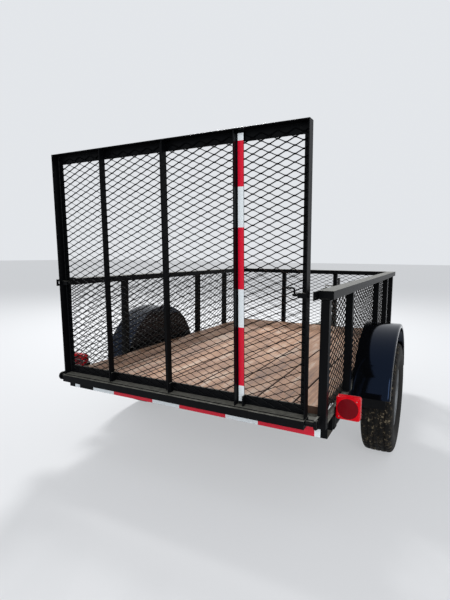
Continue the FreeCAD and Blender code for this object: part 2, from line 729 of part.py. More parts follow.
def tongue_beam():
    """Right-hand beam of the A-frame, from the apex to the underside of the side frame."""
    length = BED_HALF_WIDTH / math.sin(BEAM_SLANT) + BEAM_WIDTH
    w, t = BEAM_WIDTH / 2, BEAM_WALL
    z0, z1 = BEAM_TOP - BEAM_DEPTH, BEAM_TOP
    outer = block(-w, w, -length, length / 4, z0, z1)
    hollow = block(-w + t, w - t, -length, length / 4, z0 + t, z1 - t)
    beam = outer.cut(hollow)
    beam.rotate(V(0, 0, 0), V(0, 0, 1), math.degrees(BEAM_SLANT))
    beam.translate(V(0, APEX_PLACE, 0))
    window = block(0, BED_HALF_WIDTH, BED_REAR, BALL_PLACE, z0, z1)
    return beam.common(window)


def wing(reach, drop, thickness):
    """Right half of a plate that follows the A-frame's outer edges back from the apex."""
    edge = BEAM_WIDTH / 2 / math.cos(BEAM_SLANT)
    tip = APEX_PLACE + edge / math.tan(BEAM_SLANT)
    y0 = APEX_PLACE - reach
    x_at = (tip - y0) * math.tan(BEAM_SLANT)
    return [V(0, tip, drop), V(x_at, y0, drop), V(0, y0, drop)], V(0, 0, thickness)


def coupler():
    """Stamped A-frame coupler: wings on the beams, channel neck and ball socket."""
    points, rise = wing(COUPLER_WING_LENGTH, BEAM_TOP, COUPLER_PLATE)
    half = prism(points, rise)
    wings = fused([half, mirrored(half)])
    n = NECK_WIDTH / 2
    y0 = APEX_PLACE - COUPLER_WING_LENGTH / 2
    z0 = BEAM_TOP
    neck = block(-n, n, y0, BALL_PLACE, z0, z0 + NECK_HEIGHT)
    inside = block(
        -n + NECK_WALL, n - NECK_WALL, y0, BALL_PLACE, z0, z0 + NECK_HEIGHT - NECK_WALL
    )
    r, wall = BALL_SOCKET_RADIUS, SOCKET_WALL
    dome = crowned(r + wall, z0)
    socket = crowned(r, z0)
    return fused([neck.cut(inside), wings, dome]).cut(socket)


def crowned(radius, foot):
    """Upright cylinder on the ball's axis with a dome of flat slopes on its top."""
    rise = [0.0, 0.7, 1.0]
    outline = [V(0, BALL_PLACE, foot), V(radius, BALL_PLACE, foot)]
    for part in rise:
        across = radius * math.sqrt(1 - part * part)
        outline.append(V(across, BALL_PLACE, SOCKET_HEIGHT + radius * part))
    face = Part.Face(Part.makePolygon(outline + outline[:1]))
    return face.revolve(V(0, BALL_PLACE, 0), V(0, 0, 1), 360)


def coupler_latch():
    """Lever on top of the neck, closed: (distance from its rear end, height) of its side."""
    z0 = BEAM_TOP + NECK_HEIGHT
    w = NECK_WIDTH / 4
    y0 = APEX_PLACE - COUPLER_WING_LENGTH / 2
    long, high = LATCH_LEVER_LENGTH, LATCH_LEVER_HEIGHT
    side = [(0, 0), (long, 0), (0.88 * long, 0.7 * high), (0.2 * long, high), (0, 0.7 * high)]
    return prism([V(-w, y0 + y, z0 + z) for y, z in side], V(2 * w, 0, 0))


def jack_tube():
    """Outer tube of the jack with its plate on the beams, open at the bottom."""
    r = JACK_TUBE_DIAMETER / 2
    bore = JACK_LEG_DIAMETER / 2 + JACK_LEG_FIT
    low = V(0, JACK_PLACE, JACK_TUBE_BOTTOM)
    high = V(0, JACK_PLACE, JACK_TUBE_BOTTOM + JACK_TUBE_LENGTH)
    rear, front = JACK_PLACE - JACK_PLATE_HALF, JACK_PLACE + JACK_PLATE_HALF
    half_rear = (APEX_PLACE - rear) * math.tan(BEAM_SLANT)
    half_front = (APEX_PLACE - front) * math.tan(BEAM_SLANT)
    plate = prism(
        [
            V(-half_rear, rear, BEAM_TOP), V(half_rear, rear, BEAM_TOP),
            V(half_front, front, BEAM_TOP), V(-half_front, front, BEAM_TOP),
        ],
        V(0, 0, JACK_PLATE),
    )
    inner_top = high - V(0, 0, JACK_CAP)
    cap = rod(r + JACK_CAP_RIM, inner_top, high)
    return fused([rod(r, low, high), plate, cap]).cut(rod(bore, low, inner_top))


def jack_crank():
    """Crank folded out on top of the jack: stub, arm and grip."""
    z0 = JACK_TUBE_BOTTOM + JACK_TUBE_LENGTH
    z1 = z0 + CRANK_RISE
    r = CRANK_ROD / 2
    stub = rod(r, V(0, JACK_PLACE, z0), V(0, JACK_PLACE, z1))
    arm = block(-r, CRANK_ARM + r, JACK_PLACE - r, JACK_PLACE + r, z1 - r, z1 + r)
    foot = V(CRANK_ARM, JACK_PLACE, z1 + r)
    grip = rod(CRANK_GRIP_DIAMETER / 2, foot, foot + V(0, 0, CRANK_GRIP_LENGTH))
    return fused([stub, arm, grip])


def jack_leg():
    """Inner leg standing on its foot plate."""
    top = JACK_TUBE_BOTTOM + JACK_TUBE_LENGTH - JACK_CAP - JACK_TRAVEL - JACK_TOP_SPACE
    leg = rod(JACK_LEG_DIAMETER / 2, V(0, JACK_PLACE, FOOT_THICKNESS), V(0, JACK_PLACE, top))
    f = FOOT_SIZE / 2
    foot = block(-f, f, JACK_PLACE - f, JACK_PLACE + f, 0, FOOT_THICKNESS)
    return fused([leg, foot])


# Assembly


def nodes():
    """Each node's name with its solids, still placed from the gate's plane."""
    side_rising, side_falling = side_mesh()
    front_rising, front_falling = front_mesh()
    gate_rising, gate_falling = gate_mesh()
    gate = {
        "gate_side_angles": both(gate_side_angle()),
        "gate_cross_angles": gate_cross_angles(),
        "gate_uprights": gate_uprights(),
        "gate_hinge_tube": [gate_hinge_tube()],
        "gate_latch_pins": both(gate_latch_pin()),
        "gate_mesh_rising": [gate_rising],
        "gate_mesh_falling": [gate_falling],
    }
    right = {
        "side_frame": side_frame(),
        "top_rail": side_rail(),
        "side_posts": Part.makeCompound(side_posts()),
        "side_mesh_rising": side_rising,
        "side_mesh_falling": side_falling,
        "fender": fender(),
        "tongue_beam": tongue_beam(),
        "tyre": tyre(),
        "rim": rim(),
        "hub": hub(),
    }
    model = {}
    for name, shape in right.items():
        model[name + "_right"] = shape
        model[name + "_left"] = mirrored(shape)
    singles = {
        "crossmembers": crossmembers(),
        "deck_boards": deck_boards(),
        "front_posts": front_posts(),
        "top_rail_front": [front_rail()],
        "front_mesh_rising": [front_rising],
        "front_mesh_falling": [front_falling],
        "hinge_ears": both(hinge_ear()),
        "axle": [axle()],
        "leaf_springs": both(leaf_spring()),
        "spring_hangers": [p for piece in spring_hangers() for p in both(piece)],
        "fender_brackets": [p for piece in fender_brackets() for p in both(piece)],
        "tail_lamps": both(tail_lamp()),
        "lamp_plates": both(lamp_plate()),
        "coupler": [coupler()],
        "coupler_latch": [coupler_latch()],
        "jack_tube": [jack_tube()],
        "jack_crank": [jack_crank()],
        "jack_leg": [jack_leg()],
    }
    for name, solids in gate.items():
        singles[name] = [leaned(solid) for solid in solids]
    for name, solids in singles.items():
        model[name] = solids[0] if len(solids) == 1 else Part.makeCompound(solids)
    return model


os.makedirs("parts", exist_ok=True)
for node, shape in nodes().items():
    shape.translate(V(0, -MIDDLE_PLACE, 0))
    shape.exportStep("parts/%s.step" % node)
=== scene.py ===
"""Utility trailer with expanded-metal sides and a ramp gate: finishes, mesh, tyres and trim."""
import json
import math

import bmesh
import bpy
import numpy as np
from mathutils import Matrix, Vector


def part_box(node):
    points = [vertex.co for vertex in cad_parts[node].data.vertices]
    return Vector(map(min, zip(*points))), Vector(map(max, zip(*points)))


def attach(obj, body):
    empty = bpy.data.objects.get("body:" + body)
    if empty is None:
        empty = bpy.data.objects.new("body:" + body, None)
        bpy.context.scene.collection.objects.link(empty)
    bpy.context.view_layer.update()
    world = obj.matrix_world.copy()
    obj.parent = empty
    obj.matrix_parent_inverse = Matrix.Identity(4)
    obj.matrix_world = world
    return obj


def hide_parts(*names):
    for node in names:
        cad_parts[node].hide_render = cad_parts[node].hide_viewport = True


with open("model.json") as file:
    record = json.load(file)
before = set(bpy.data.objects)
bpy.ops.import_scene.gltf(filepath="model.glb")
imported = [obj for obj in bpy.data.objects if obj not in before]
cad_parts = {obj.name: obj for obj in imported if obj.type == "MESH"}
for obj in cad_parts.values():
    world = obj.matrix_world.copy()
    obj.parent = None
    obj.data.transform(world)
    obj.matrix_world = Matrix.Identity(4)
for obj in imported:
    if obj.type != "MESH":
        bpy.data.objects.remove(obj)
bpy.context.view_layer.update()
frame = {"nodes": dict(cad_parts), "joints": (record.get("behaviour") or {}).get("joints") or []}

# Camera: standing behind the right half of the gate at eye height, looking forward and to the
# left. Its place and angles were worked out from the corners of the gate and the frame.
CAMERA_PLACE = (1.2279, -3.5154, 1.2389)
HEADING_LEFT = math.radians(27.48)
LOOK_DOWN = math.radians(6.22)
ROLL = math.radians(0.43)
FOCAL_PIXELS = 419.7
PHOTO_HEIGHT = 600
FILM = 36.0
camera_data = bpy.data.cameras.new("camera")
camera_data.sensor_width = FILM
camera_data.lens = FOCAL_PIXELS * FILM / PHOTO_HEIGHT
camera = bpy.data.objects.new("camera", camera_data)
bpy.context.scene.collection.objects.link(camera)
camera.matrix_world = (
    Matrix.Translation(CAMERA_PLACE)
    @ Matrix.Rotation(HEADING_LEFT, 4, "Z")
    @ Matrix.Rotation(math.pi / 2 - LOOK_DOWN, 4, "X")
    @ Matrix.Rotation(ROLL, 4, "Z")
)
bpy.context.scene.camera = camera
bpy.context.scene.view_settings.view_transform = "Standard"

# Frame, posts, rails, tongue and axle: mild steel tube and angle, sprayed with black gloss
# enamel. The enamel has a fine orange-peel ripple, and dust and faint streaks dull it low down.
# Faces that look straight up turn paler, partly from dust and partly from painted sunlight.
EASED = 0.0012  # rounding of an edge
MERGE = 0.00002  # points closer than this are one
RIPPLE_DEPTH = 0.0004
STREAK_MM = (23.81, 23.81, 133.33)  # width and height of a streak of dust


def colour(code):
    """Linear RGBA of an sRGB hex code, by the standard curve of the sRGB colour space."""
    parts = np.array([int(code[i:i + 2], 16) for i in (1, 3, 5)]) / 255
    linear = np.where(parts <= 0.04045, parts / 12.92, ((parts + 0.055) / 1.055) ** 2.4)
    return (*linear, 1.0)


def feed(made, inputs):
    """Sets inputs of a node, each to a value or a link."""
    for key, value in inputs.items():
        if isinstance(value, bpy.types.NodeSocket):
            made.id_data.links.new(value, made.inputs[key])
        else:
            made.inputs[key].default_value = value


def node(material, kind, inputs=None, out=0, stops=(), **settings):
    """Adds one node with its settings, (place, hex) stops and inputs; returns one output."""
    made = material.node_tree.nodes.new("ShaderNode" + kind)
    for key, value in settings.items():
        setattr(made, key, value)
    for _ in stops[2:]:
        made.color_ramp.elements.new(0.5)
    for n, (position, code) in enumerate(stops):
        made.color_ramp.elements[n].position = position
        made.color_ramp.elements[n].color = colour(code)
    feed(made, inputs or {})
    return made.outputs[out]


def new_material(name):
    """Node material; returns it, its surface shader and the place of each spot on the object."""
    material = bpy.data.materials.new(name)
    material.use_nodes = True
    nodes = material.node_tree.nodes
    nodes.clear()
    shader = nodes.new("ShaderNodeBsdfPrincipled")
    feed(nodes.new("ShaderNodeOutputMaterial"), {"Surface": shader.outputs[0]})
    return material, shader, node(material, "TexCoord", out="Object")


def black_enamel(name, ripple_mm, gloss, dust_height_m, settled, specular=0.06, tint="#ffffff"):
    """Sprayed enamel: near-black, ripple at ripple_mm, dust that thins out with height.

    The argument after dust_height_m is the share of pale grey laid on the faces that look
    straight up: partly dust, partly painted sunlight on those tops. specular and tint are the
    strength and colour of the reflection off the front of the film.
    """
    material, shader, place = new_material(name)
    streaks = node(material, "Mapping", {"Vector": place, "Scale": 1000 / np.array(STREAK_MM)})
    grime = node(material, "TexNoise", {
        "Vector": streaks, "Scale": 1.0, "Detail": 8.0, "Roughness": 0.65,
    })
    height = node(material, "SeparateXYZ", {0: place}, out="Z")
    low = node(material, "MapRange", {
        "Value": height, "From Min": 0.0, "From Max": dust_height_m, "To Min": 0.26, "To Max": 0.04,
    })
    amount = node(material, "Math", {0: grime, 1: low}, operation="MULTIPLY")
    base = node(material, "ValToRGB", {0: amount}, stops=[
        (0.02, "#060709"), (0.10, "#0e0f11"), (0.35, "#3f3a34"),
    ])
    # Pale grey on the faces that look straight up: partly dust, partly painted sunlight on those tops.
    normal = node(material, "NewGeometry", out="Normal")
    facing = node(material, "SeparateXYZ", {0: normal}, out="Z")
    lying = node(material, "MapRange", {
        "Value": facing, "From Min": 0.75, "From Max": 1.0, "To Max": settled * 2,
    })
    film = node(material, "Math", {0: lying, 1: grime}, operation="MULTIPLY")
    dust_and_top_light = node(material, "Mix", {
        "Factor": film, 6: base, 7: colour("#85847c"),
    }, out=2, data_type="RGBA")
    rough = node(material, "MapRange", {
        "Value": amount, "From Min": 0.02, "From Max": 0.2, "To Min": gloss, "To Max": gloss + 0.3,
    })
    ripple = node(material, "TexNoise", {"Vector": place, "Scale": 1000.0 / ripple_mm, "Detail": 2.0})
    bump = node(material, "Bump", {"Height": ripple, "Strength": 0.12, "Distance": RIPPLE_DEPTH})
    feed(shader, {
        "Base Color": dust_and_top_light, "Roughness": rough, "Normal": bump, "IOR": 1.5,
        "Specular IOR Level": specular, "Specular Tint": colour(tint),
    })
    return material


def dress(names, material):
    """Gives CAD nodes their material."""
    for name in names:
        mesh = frame["nodes"][name].data
        mesh.materials.clear()
        mesh.materials.append(material)


def ease(names, width, sharp_degrees):
    """Rounds the edges of CAD nodes that are sharper than an angle, after merging doubles."""
    for name in names:
        modifiers = frame["nodes"][name].modifiers
        modifiers.new("merged doubles", "WELD").merge_threshold = MERGE
        bevel = modifiers.new("eased edges", "BEVEL")
        bevel.width = width
        bevel.segments = 2
        bevel.limit_method = "ANGLE"
        bevel.angle_limit = math.radians(sharp_degrees)


def both(name):
    """A node's names on the two sides."""
    return [name + "_left", name + "_right"]


enamel = black_enamel("black gloss enamel on steel", 3.0, gloss=0.36, dust_height_m=0.9, settled=0.6)
SQUARE_STEEL = [
    "crossmembers", "front_posts", "top_rail_front", "fender_brackets", "lamp_plates",
    "gate_cross_angles", "gate_uprights",
]
for stem in ("side_frame", "top_rail", "side_posts", "tongue_beam"):
    SQUARE_STEEL += both(stem)
ROUND_STEEL = [
    "hinge_ears", "spring_hangers", "leaf_springs", "axle", "gate_hinge_tube", "coupler", "jack_tube",
]
dress(SQUARE_STEEL + ROUND_STEEL, enamel)
ease(SQUARE_STEEL, EASED, 60)
ease(["spring_hangers", "gate_hinge_tube", "hinge_ears"], EASED, 60)

# Weld beads: each post is welded round its foot and under its rail, and the brackets and hinge
# ears up their edges. The bead stands proud with a ripple for each drop, under the same enamel.
WELD_RADIUS = 0.0034
WELD_RIPPLE = 0.0032
WELD_SWELL = 0.16
WELD_STATION = 0.0009
WELD_SIDES = 7
GATE_HINGE = np.array([j["pos_m"] for j in frame["joints"] if j["name"] == "gate_hinge"][0])
GATE_LEAN = math.radians(2.0)


def leaned(points, angle=GATE_LEAN):
    """Points of the upright gate turned rearward about its hinge axis."""
    x, y, z = (np.asarray(points, float) - GATE_HINGE).T
    cos, sin = math.cos(angle), math.sin(angle)
    return np.stack((x, y * cos - z * sin, y * sin + z * cos), -1) + GATE_HINGE


def solids(name, stand_up=False):
    """Low and high corners of each separate solid of a CAD node, from left to right.

    Corners of triangles at one spot are one point, and points that share a triangle take the
    lowest label among them until none changes. The gate's nodes can be stood up straight.
    """
    mesh = frame["nodes"][name].data
    spots = np.empty(len(mesh.vertices) * 3)
    mesh.vertices.foreach_get("co", spots)
    corners = np.empty(len(mesh.polygons) * 3, int)
    mesh.polygons.foreach_get("vertices", corners)
    spots, same = np.unique(spots.reshape(-1, 3), axis=0, return_inverse=True)
    corners = same.ravel()[corners.reshape(-1, 3)]
    label, last = np.arange(len(spots)), None
    while last is None or (label != last).any():
        last = label.copy()
        np.minimum.at(label, corners, label[corners].min(1)[:, None])
        label = label[label]
    if stand_up:
        spots = leaned(spots, -GATE_LEAN)
    found = [(spots[label == n].min(0), spots[label == n].max(0)) for n in np.unique(label)]
    return sorted(found, key=lambda pair: tuple(pair[0]))


def piece(name, points, faces, material, body, smooth=False):
    """Closed mesh object from points and faces, its faces turned outwards, riding on a body."""
    mesh = bpy.data.meshes.new(name)
    mesh.from_pydata(np.asarray(points, float).tolist(), [], [list(map(int, f)) for f in faces])
    mesh.materials.append(material)
    work = bmesh.new()
    work.from_mesh(mesh)
    bmesh.ops.recalc_face_normals(work, faces=work.faces)
    work.to_mesh(mesh)
    work.free()
    mesh.polygons.foreach_set("use_smooth", [smooth] * len(mesh.polygons))
    made = bpy.data.objects.new(name, mesh)
    bpy.context.scene.collection.objects.link(made)
    if body:
        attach(made, body)
    return made


def tube_faces(stations, ring, closed=False):
    """Faces that join rings of points into a tube, with flat ends unless it is closed."""
    last = stations if closed else stations - 1
    a = (np.arange(last)[:, None] * ring) % (stations * ring)
    b = (a + ring) % (stations * ring)
    c = np.arange(ring)
    d = (c + 1) % ring
    quads = np.stack([a + c, a + d, b + d, b + c], -1).reshape(-1, 4).tolist()
    if not closed:
        quads.append(list(range(ring))[::-1])
        quads.append([(stations - 1) * ring + i for i in range(ring)])
    return quads


def tube(x, y, z, closed=False):
    """Points and faces of a tube; ring i is row i of three arrays stretched to one shape."""
    rings = np.stack(np.broadcast_arrays(x, y, z), -1)
    return rings.reshape(-1, 3), tube_faces(*rings.shape[:2], closed)


def swept(path, radius, sides, across):
    """Round bar: a circle carried along a flat path, whose plane is square to across.

    Station i's circle is path[i] + radius[i] (cos a * n + sin a * across), where n is across
    crossed with the path's direction there.
    """
    path = np.asarray(path, float)
    along = np.gradient(path, axis=0)
    along /= np.linalg.norm(along, axis=1)[:, None]
    normal = np.cross(across, along)
    a = (np.arange(sides) * 2 * math.pi / sides)[None, :, None]
    size = np.broadcast_to(radius, len(path))[:, None, None]
    ring = path[:, None] + size * (np.cos(a) * normal[:, None] + np.sin(a) * np.asarray(across, float))
    return ring.reshape(-1, 3), tube_faces(len(path), sides)


def joined(parts):
    """Several (points, faces) pairs as one."""
    points, faces, start = [], [], 0
    for some, quads in parts:
        points.append(some)
        faces += [[start + i for i in quad] for quad in quads]
        start += len(some)
    return np.concatenate(points), faces


def weld(start, end):
    """Bead from start to end: radius swells once for each ripple and tapers at both ends."""
    start, end = np.array(start, float), np.array(end, float)
    length = np.linalg.norm(end - start)
    s = np.linspace(0, 1, max(int(length / WELD_STATION), 9))
    swell = 1 + WELD_SWELL * np.cos(2 * math.pi * s * length / WELD_RIPPLE)
    radius = WELD_RADIUS * swell * np.sqrt(1.02 - (2 * s - 1) ** 10)
    across = np.cross(end - start, (0.36, 0.48, 0.8))
    across /= np.linalg.norm(across)
    return swept(start + s[:, None] * (end - start), radius, WELD_SIDES, across)


def square_weld(low, high, z):
    """Four beads round an upright tube at a height."""
    corners = [(low[0], low[1], z), (high[0], low[1], z), (high[0], high[1], z), (low[0], high[1], z)]
    return [weld(corners[n], corners[(n + 1) % 4]) for n in range(4)]


frame_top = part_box("side_frame_right")[1].z
beads = []
for name in both("side_posts") + ["front_posts"]:
    for low, high in solids(name):
        beads += square_weld(low, high, high[2])
        if low[2] > frame_top - MERGE:
            beads += square_weld(low, high, low[2])
        else:
            beads += [weld((x, high[1], low[2]), (x, high[1], frame_top)) for x in (low[0], high[0])]
for low, high in solids("fender_brackets"):
    inner = low[0] if low[0] > 0 else high[0]
    beads += [weld((inner, y, low[2]), (inner, y, high[2])) for y in (low[1], high[1])]
for low, high in solids("hinge_ears"):
    beads += [weld((x, high[1], low[2]), (x, high[1], high[2])) for x in (low[0], high[0])]
piece("frame_welds", *joined(beads), enamel, "chassis", smooth=True)

# Gate sides: rolled steel angle with a rounded toe and a filleted root, its narrow leg across
# the gate and its wide leg to the rear, under the same enamel.
ANGLE_THICK = 0.0048
NARROW_LEG = 0.033
ROOT_FILLET = 0.005
TOE = 0.002
CORNER_RISE = 0.050


def boxes(rows):
    """Points and faces of boxes given as (x0, x1, y0, y1, z0, z1) rows."""
    rows = np.asarray(rows, float)
    pick = np.array([(0, 2, 4), (1, 2, 4), (1, 3, 4), (0, 3, 4),
                     (0, 2, 5), (1, 2, 5), (1, 3, 5), (0, 3, 5)])
    quads = np.array([(0, 3, 2, 1), (4, 5, 6, 7), (0, 1, 5, 4),
                      (1, 2, 6, 5), (2, 3, 7, 6), (3, 0, 4, 7)])
    points = rows[:, pick].reshape(-1, 3)
    return points, (quads[None] + np.arange(len(rows))[:, None, None] * 8).reshape(-1, 4).tolist()


def rolled_angle(width, depth, sign):
    """Outline of an L: the narrow leg along x by width, the wide one towards the rear by depth.

    The outer corner is at the origin; the root is a quarter circle and each toe is rounded on
    its inner side.
    """
    t = ANGLE_THICK
    turn = np.linspace(0, math.pi / 2, 5)
    root = np.stack((t + ROOT_FILLET - ROOT_FILLET * np.sin(turn),
                     -t - ROOT_FILLET + ROOT_FILLET * np.cos(turn)), -1)
    toe = np.stack((width - TOE + TOE * np.cos(turn), -t + TOE - TOE * np.sin(turn)), -1)
    heel = np.stack((t - TOE + TOE * np.cos(turn), -depth + TOE - TOE * np.sin(turn)), -1)
    outline = np.concatenate(([(0, 0), (width, 0)], toe, root, heel, [(0, -depth)]))
    return outline * (sign, 1)


side_angles = solids("gate_side_angles", stand_up=True)
parts = []
for (low, high), sign in zip(side_angles, (1, -1)):
    corner = (low[0] if sign > 0 else high[0], high[1])
    outline = rolled_angle(NARROW_LEG, high[1] - low[1], sign) + corner
    parts.append(tube(*outline.T, np.array([[low[2]], [high[2]]])))
    inner, reach = sorted(corner[0] + sign * away for away in (NARROW_LEG - TOE, high[0] - low[0]))
    parts.append(boxes([(inner, reach, high[1] - ANGLE_THICK, high[1], z, z + CORNER_RISE)
                        for z in (low[2], high[2] - CORNER_RISE)]))
points, faces = joined(parts)
sides = piece("gate_rolled_sides", leaned(points), faces, enamel, "ramp_gate")
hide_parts("gate_side_angles")

# Gate welds: beads across the uprights' ends, up the plates at the corners and under the sides.
# They are laid from the front and lie under the same enamel.
FOOT_BEAD = 0.004
beads = []
uprights = solids("gate_uprights", stand_up=True)
for low, high in uprights:
    face = high[1] - ANGLE_THICK
    beads += [weld((low[0], face, z), (high[0], face, z)) for z in (low[2], high[2])]
for low, high in side_angles:
    sign = 1 if low[0] < 0 else -1
    inner = (low[0] if low[0] < 0 else high[0]) + sign * NARROW_LEG
    for z0, z1 in ((low[2], low[2] + CORNER_RISE), (high[2] - CORNER_RISE, high[2])):
        beads.append(weld((inner, high[1], z0), (inner, high[1], z1)))
    side = low[0] + FOOT_BEAD
    beads.append(weld((side, low[1] + FOOT_BEAD, low[2]), (side, high[1], low[2])))
points, faces = joined(beads)
piece("gate_welds", leaned(points), faces, enamel, "ramp_gate", smooth=True)

# Mesh panels: one and a half inch expanded steel sheet, slit and stretched so that its strands
# zigzag between twisted bonds, then welded to the frame and sprayed with the same enamel.
LONG_WAY = 0.0762
SHORT_WAY = 0.0338
STRAND_WIDTH = 0.0054
STRAND_THICKNESS = 0.0024
STRAND_TILT = math.radians(63)
BOND_LENGTH = 0.009
BOND_HALF = 0.0012
PANEL_DEPTH = 0.0062
GATE_INSET_SIDE = 0.007
GATE_INSET_TOP = 0.010


def copies(shape, places):
    """One shape repeated at places, as one (points, faces) pair."""
    points, faces = shape
    return joined([(points + np.array(place, float), faces) for place in places])


def expanded_metal(width, height):
    """Points (along, up, through) and faces of one panel.

    Row k is a box-section strand that swings between bond lines k and k + 1, half a short
    way apart. Its height and depth are a trapezoid wave of the distance along, flat over
    each bond, and its section is a rectangle turned by STRAND_TILT about that distance.
    """
    step = SHORT_WAY / 2
    rows = int(height / step)
    margin = (height - rows * step) / 2
    cos, sin = math.cos(STRAND_TILT), math.sin(STRAND_TILT)
    w, t = STRAND_WIDTH / 2, STRAND_THICKNESS / 2
    section = np.array([(a * cos - b * sin, a * sin + b * cos)
                        for a, b in ((-w, -t), (w, -t), (w, t), (-w, t))])
    knots = np.arange(-1, int(2 * width / LONG_WAY) + 2)
    strands = []
    for parity in (0, 1):
        lines = np.arange(parity, rows, 2)
        edge = BOND_LENGTH / 2
        place = (knots[:, None] * LONG_WAY / 2 + np.array((-edge, edge))).ravel()
        upper = np.repeat((knots + parity) % 2, 2).astype(float)
        along = np.unique(np.concatenate(([0.0, width], place[(place > 0) & (place < width)])))
        swing = np.interp(along, place, upper)
        centre_up = BOND_HALF + swing * (step - 2 * BOND_HALF)
        centre_through = (PANEL_DEPTH / 2 - w * sin - t * cos) * (1 - 2 * swing)
        strand = tube(along[:, None], centre_up[:, None] + section[:, 0],
                      centre_through[:, None] + section[:, 1])
        strands.append(copies(strand, [(0.0, margin + line * step, 0.0) for line in lines]))
    return joined(strands)


mesh_enamel = black_enamel("black enamel on expanded steel", 1.5, gloss=0.34, dust_height_m=0.9,
                           settled=0.3)
PANELS = [
    # stem, suffix, body, axis that the diamonds run along
    ("gate_mesh", "", "ramp_gate", 0),
    ("front_mesh", "", "chassis", 0),
    ("side_mesh", "_left", "chassis", 1),
    ("side_mesh", "_right", "chassis", 1),
]
for stem, suffix, body, axis in PANELS:
    on_gate = body == "ramp_gate"
    layers = ["%s_%s%s" % (stem, way, suffix) for way in ("rising", "falling")]
    corners = np.array([solids(layer, on_gate)[0] for layer in layers])
    low, high = corners[:, 0].min(0), corners[:, 1].max(0)
    if on_gate:
        low[0] += GATE_INSET_SIDE
        high[0] -= GATE_INSET_SIDE
        high[2] -= GATE_INSET_TOP
    flat, faces = expanded_metal(high[axis] - low[axis], high[2] - low[2])
    points = np.empty_like(flat)
    points[:, axis] = low[axis] + flat[:, 0]
    points[:, 2] = low[2] + flat[:, 1]
    points[:, 1 - axis] = (low[1 - axis] + high[1 - axis]) / 2 - flat[:, 2]
    if on_gate:
        points = leaned(points)
    panel = piece("%s_panel%s" % (stem, suffix), points, faces, mesh_enamel, body)
    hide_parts(*layers)

# Deck: treated pine planks, planed with eased edges, laid with narrow gaps and screwed down.
# The sun has bleached them unevenly, water has stained them, and the grain runs lengthwise.
# Their sides and undersides are darkened as painted shade, so that the gaps read dark.
EASED_EDGE = 0.004
CUP = 0.0006  # drop at a plank's edges
SHRINKAGE = 0.0015  # lost on each side as the wood dries
PLANK_STATIONS = 9
GRAIN_DEPTH = 0.0012
# Painted shade: the planks' sides and undersides are darkened so that the gaps between them read dark.
GAP_SHADE = 0.9  # how dark the sides and the underside are
TONE_SEED = 4
PLANK_SHIFT = 7.0  # the pattern's place moves by up to this from plank to plank


def rounded_outline(width, height, radius, per_corner):
    """Closed rectangle outline with round corners, anticlockwise from its right side."""
    turn = np.linspace(0, math.pi / 2, per_corner)
    parts = []
    for n, (sx, sz) in enumerate([(1, 1), (-1, 1), (-1, -1), (1, -1)]):
        a = turn + n * math.pi / 2
        centre = np.array((sx * (width / 2 - radius), sz * (height / 2 - radius)))
        parts.append(centre + radius * np.stack((np.cos(a), np.sin(a)), -1))
    return np.concatenate(parts)


def pine():
    """Weathered treated pine: long grain, stains, dark cracks and a tone for each plank."""
    material, shader, place = new_material("weathered treated pine")
    tone = node(material, "Attribute", out="Fac", attribute_name="plank_tone")
    far = node(material, "Math", {0: tone, 1: PLANK_SHIFT}, operation="MULTIPLY")
    shift = node(material, "CombineXYZ", {"X": far, "Y": far, "Z": far})
    moved = node(material, "VectorMath", {0: place, 1: shift}, operation="ADD")

    def streak(wide_mm, long_mm, detail, distortion):
        """Noise drawn out along the plank, in streaks of about this size."""
        scale = 1000 / np.array((wide_mm, long_mm, wide_mm))
        long = node(material, "Mapping", {"Vector": moved, "Scale": scale})
        return node(material, "TexNoise", {
            "Vector": long, "Scale": 1.0, "Detail": detail, "Roughness": 0.62,
            "Distortion": distortion,
        })

    grain = streak(7.6923, 200, 10.0, 0.8)
    stain = streak(62.5, 416.67, 6.0, 0.3)
    cracks = streak(3.8462, 333.33, 3.0, 0.0)
    wood = node(material, "ValToRGB", {0: grain}, stops=[
        (0.30, "#4a2c1d"), (0.42, "#835539"), (0.52, "#a87855"), (0.66, "#c09874"),
    ])
    pale = node(material, "ValToRGB", {0: stain}, stops=[
        (0.34, "#4b3a30"), (0.45, "#8b6549"), (0.54, "#b68e72"), (0.64, "#d3c2b0"),
    ])
    mixed = node(material, "Mix", {"Factor": 0.5, 6: wood, 7: pale}, out=2, data_type="RGBA")
    dark = node(material, "ValToRGB", {0: cracks}, stops=[(0.30, "#4a3226"), (0.36, "#ffffff")])
    split = node(material, "Mix", {
        "Factor": 0.7, 6: mixed, 7: dark,
    }, out=2, data_type="RGBA", blend_type="MULTIPLY")
    level = node(material, "MapRange", {"Value": tone, "To Min": 0.62, "To Max": 0.96})
    final = node(material, "Mix", {
        "Factor": 1.0, 6: split, 7: level,
    }, out=2, data_type="RGBA", blend_type="MULTIPLY")
    # Painted shade on the sides and undersides, where the gaps between planks are shaded.
    edge = node(material, "Attribute", out="Fac", attribute_name="plank_edge")
    gap_shade = node(material, "Mix", {
        "Factor": edge, 6: final, 7: colour("#3a2215"),
    }, out=2, data_type="RGBA")
    rough = node(material, "MapRange", {"Value": grain, "To Min": 0.6, "To Max": 0.85})
    bump = node(material, "Bump", {"Height": grain, "Strength": 0.6, "Distance": GRAIN_DEPTH})
    feed(shader, {"Base Color": gap_shade, "Roughness": rough, "Normal": bump})
    return material


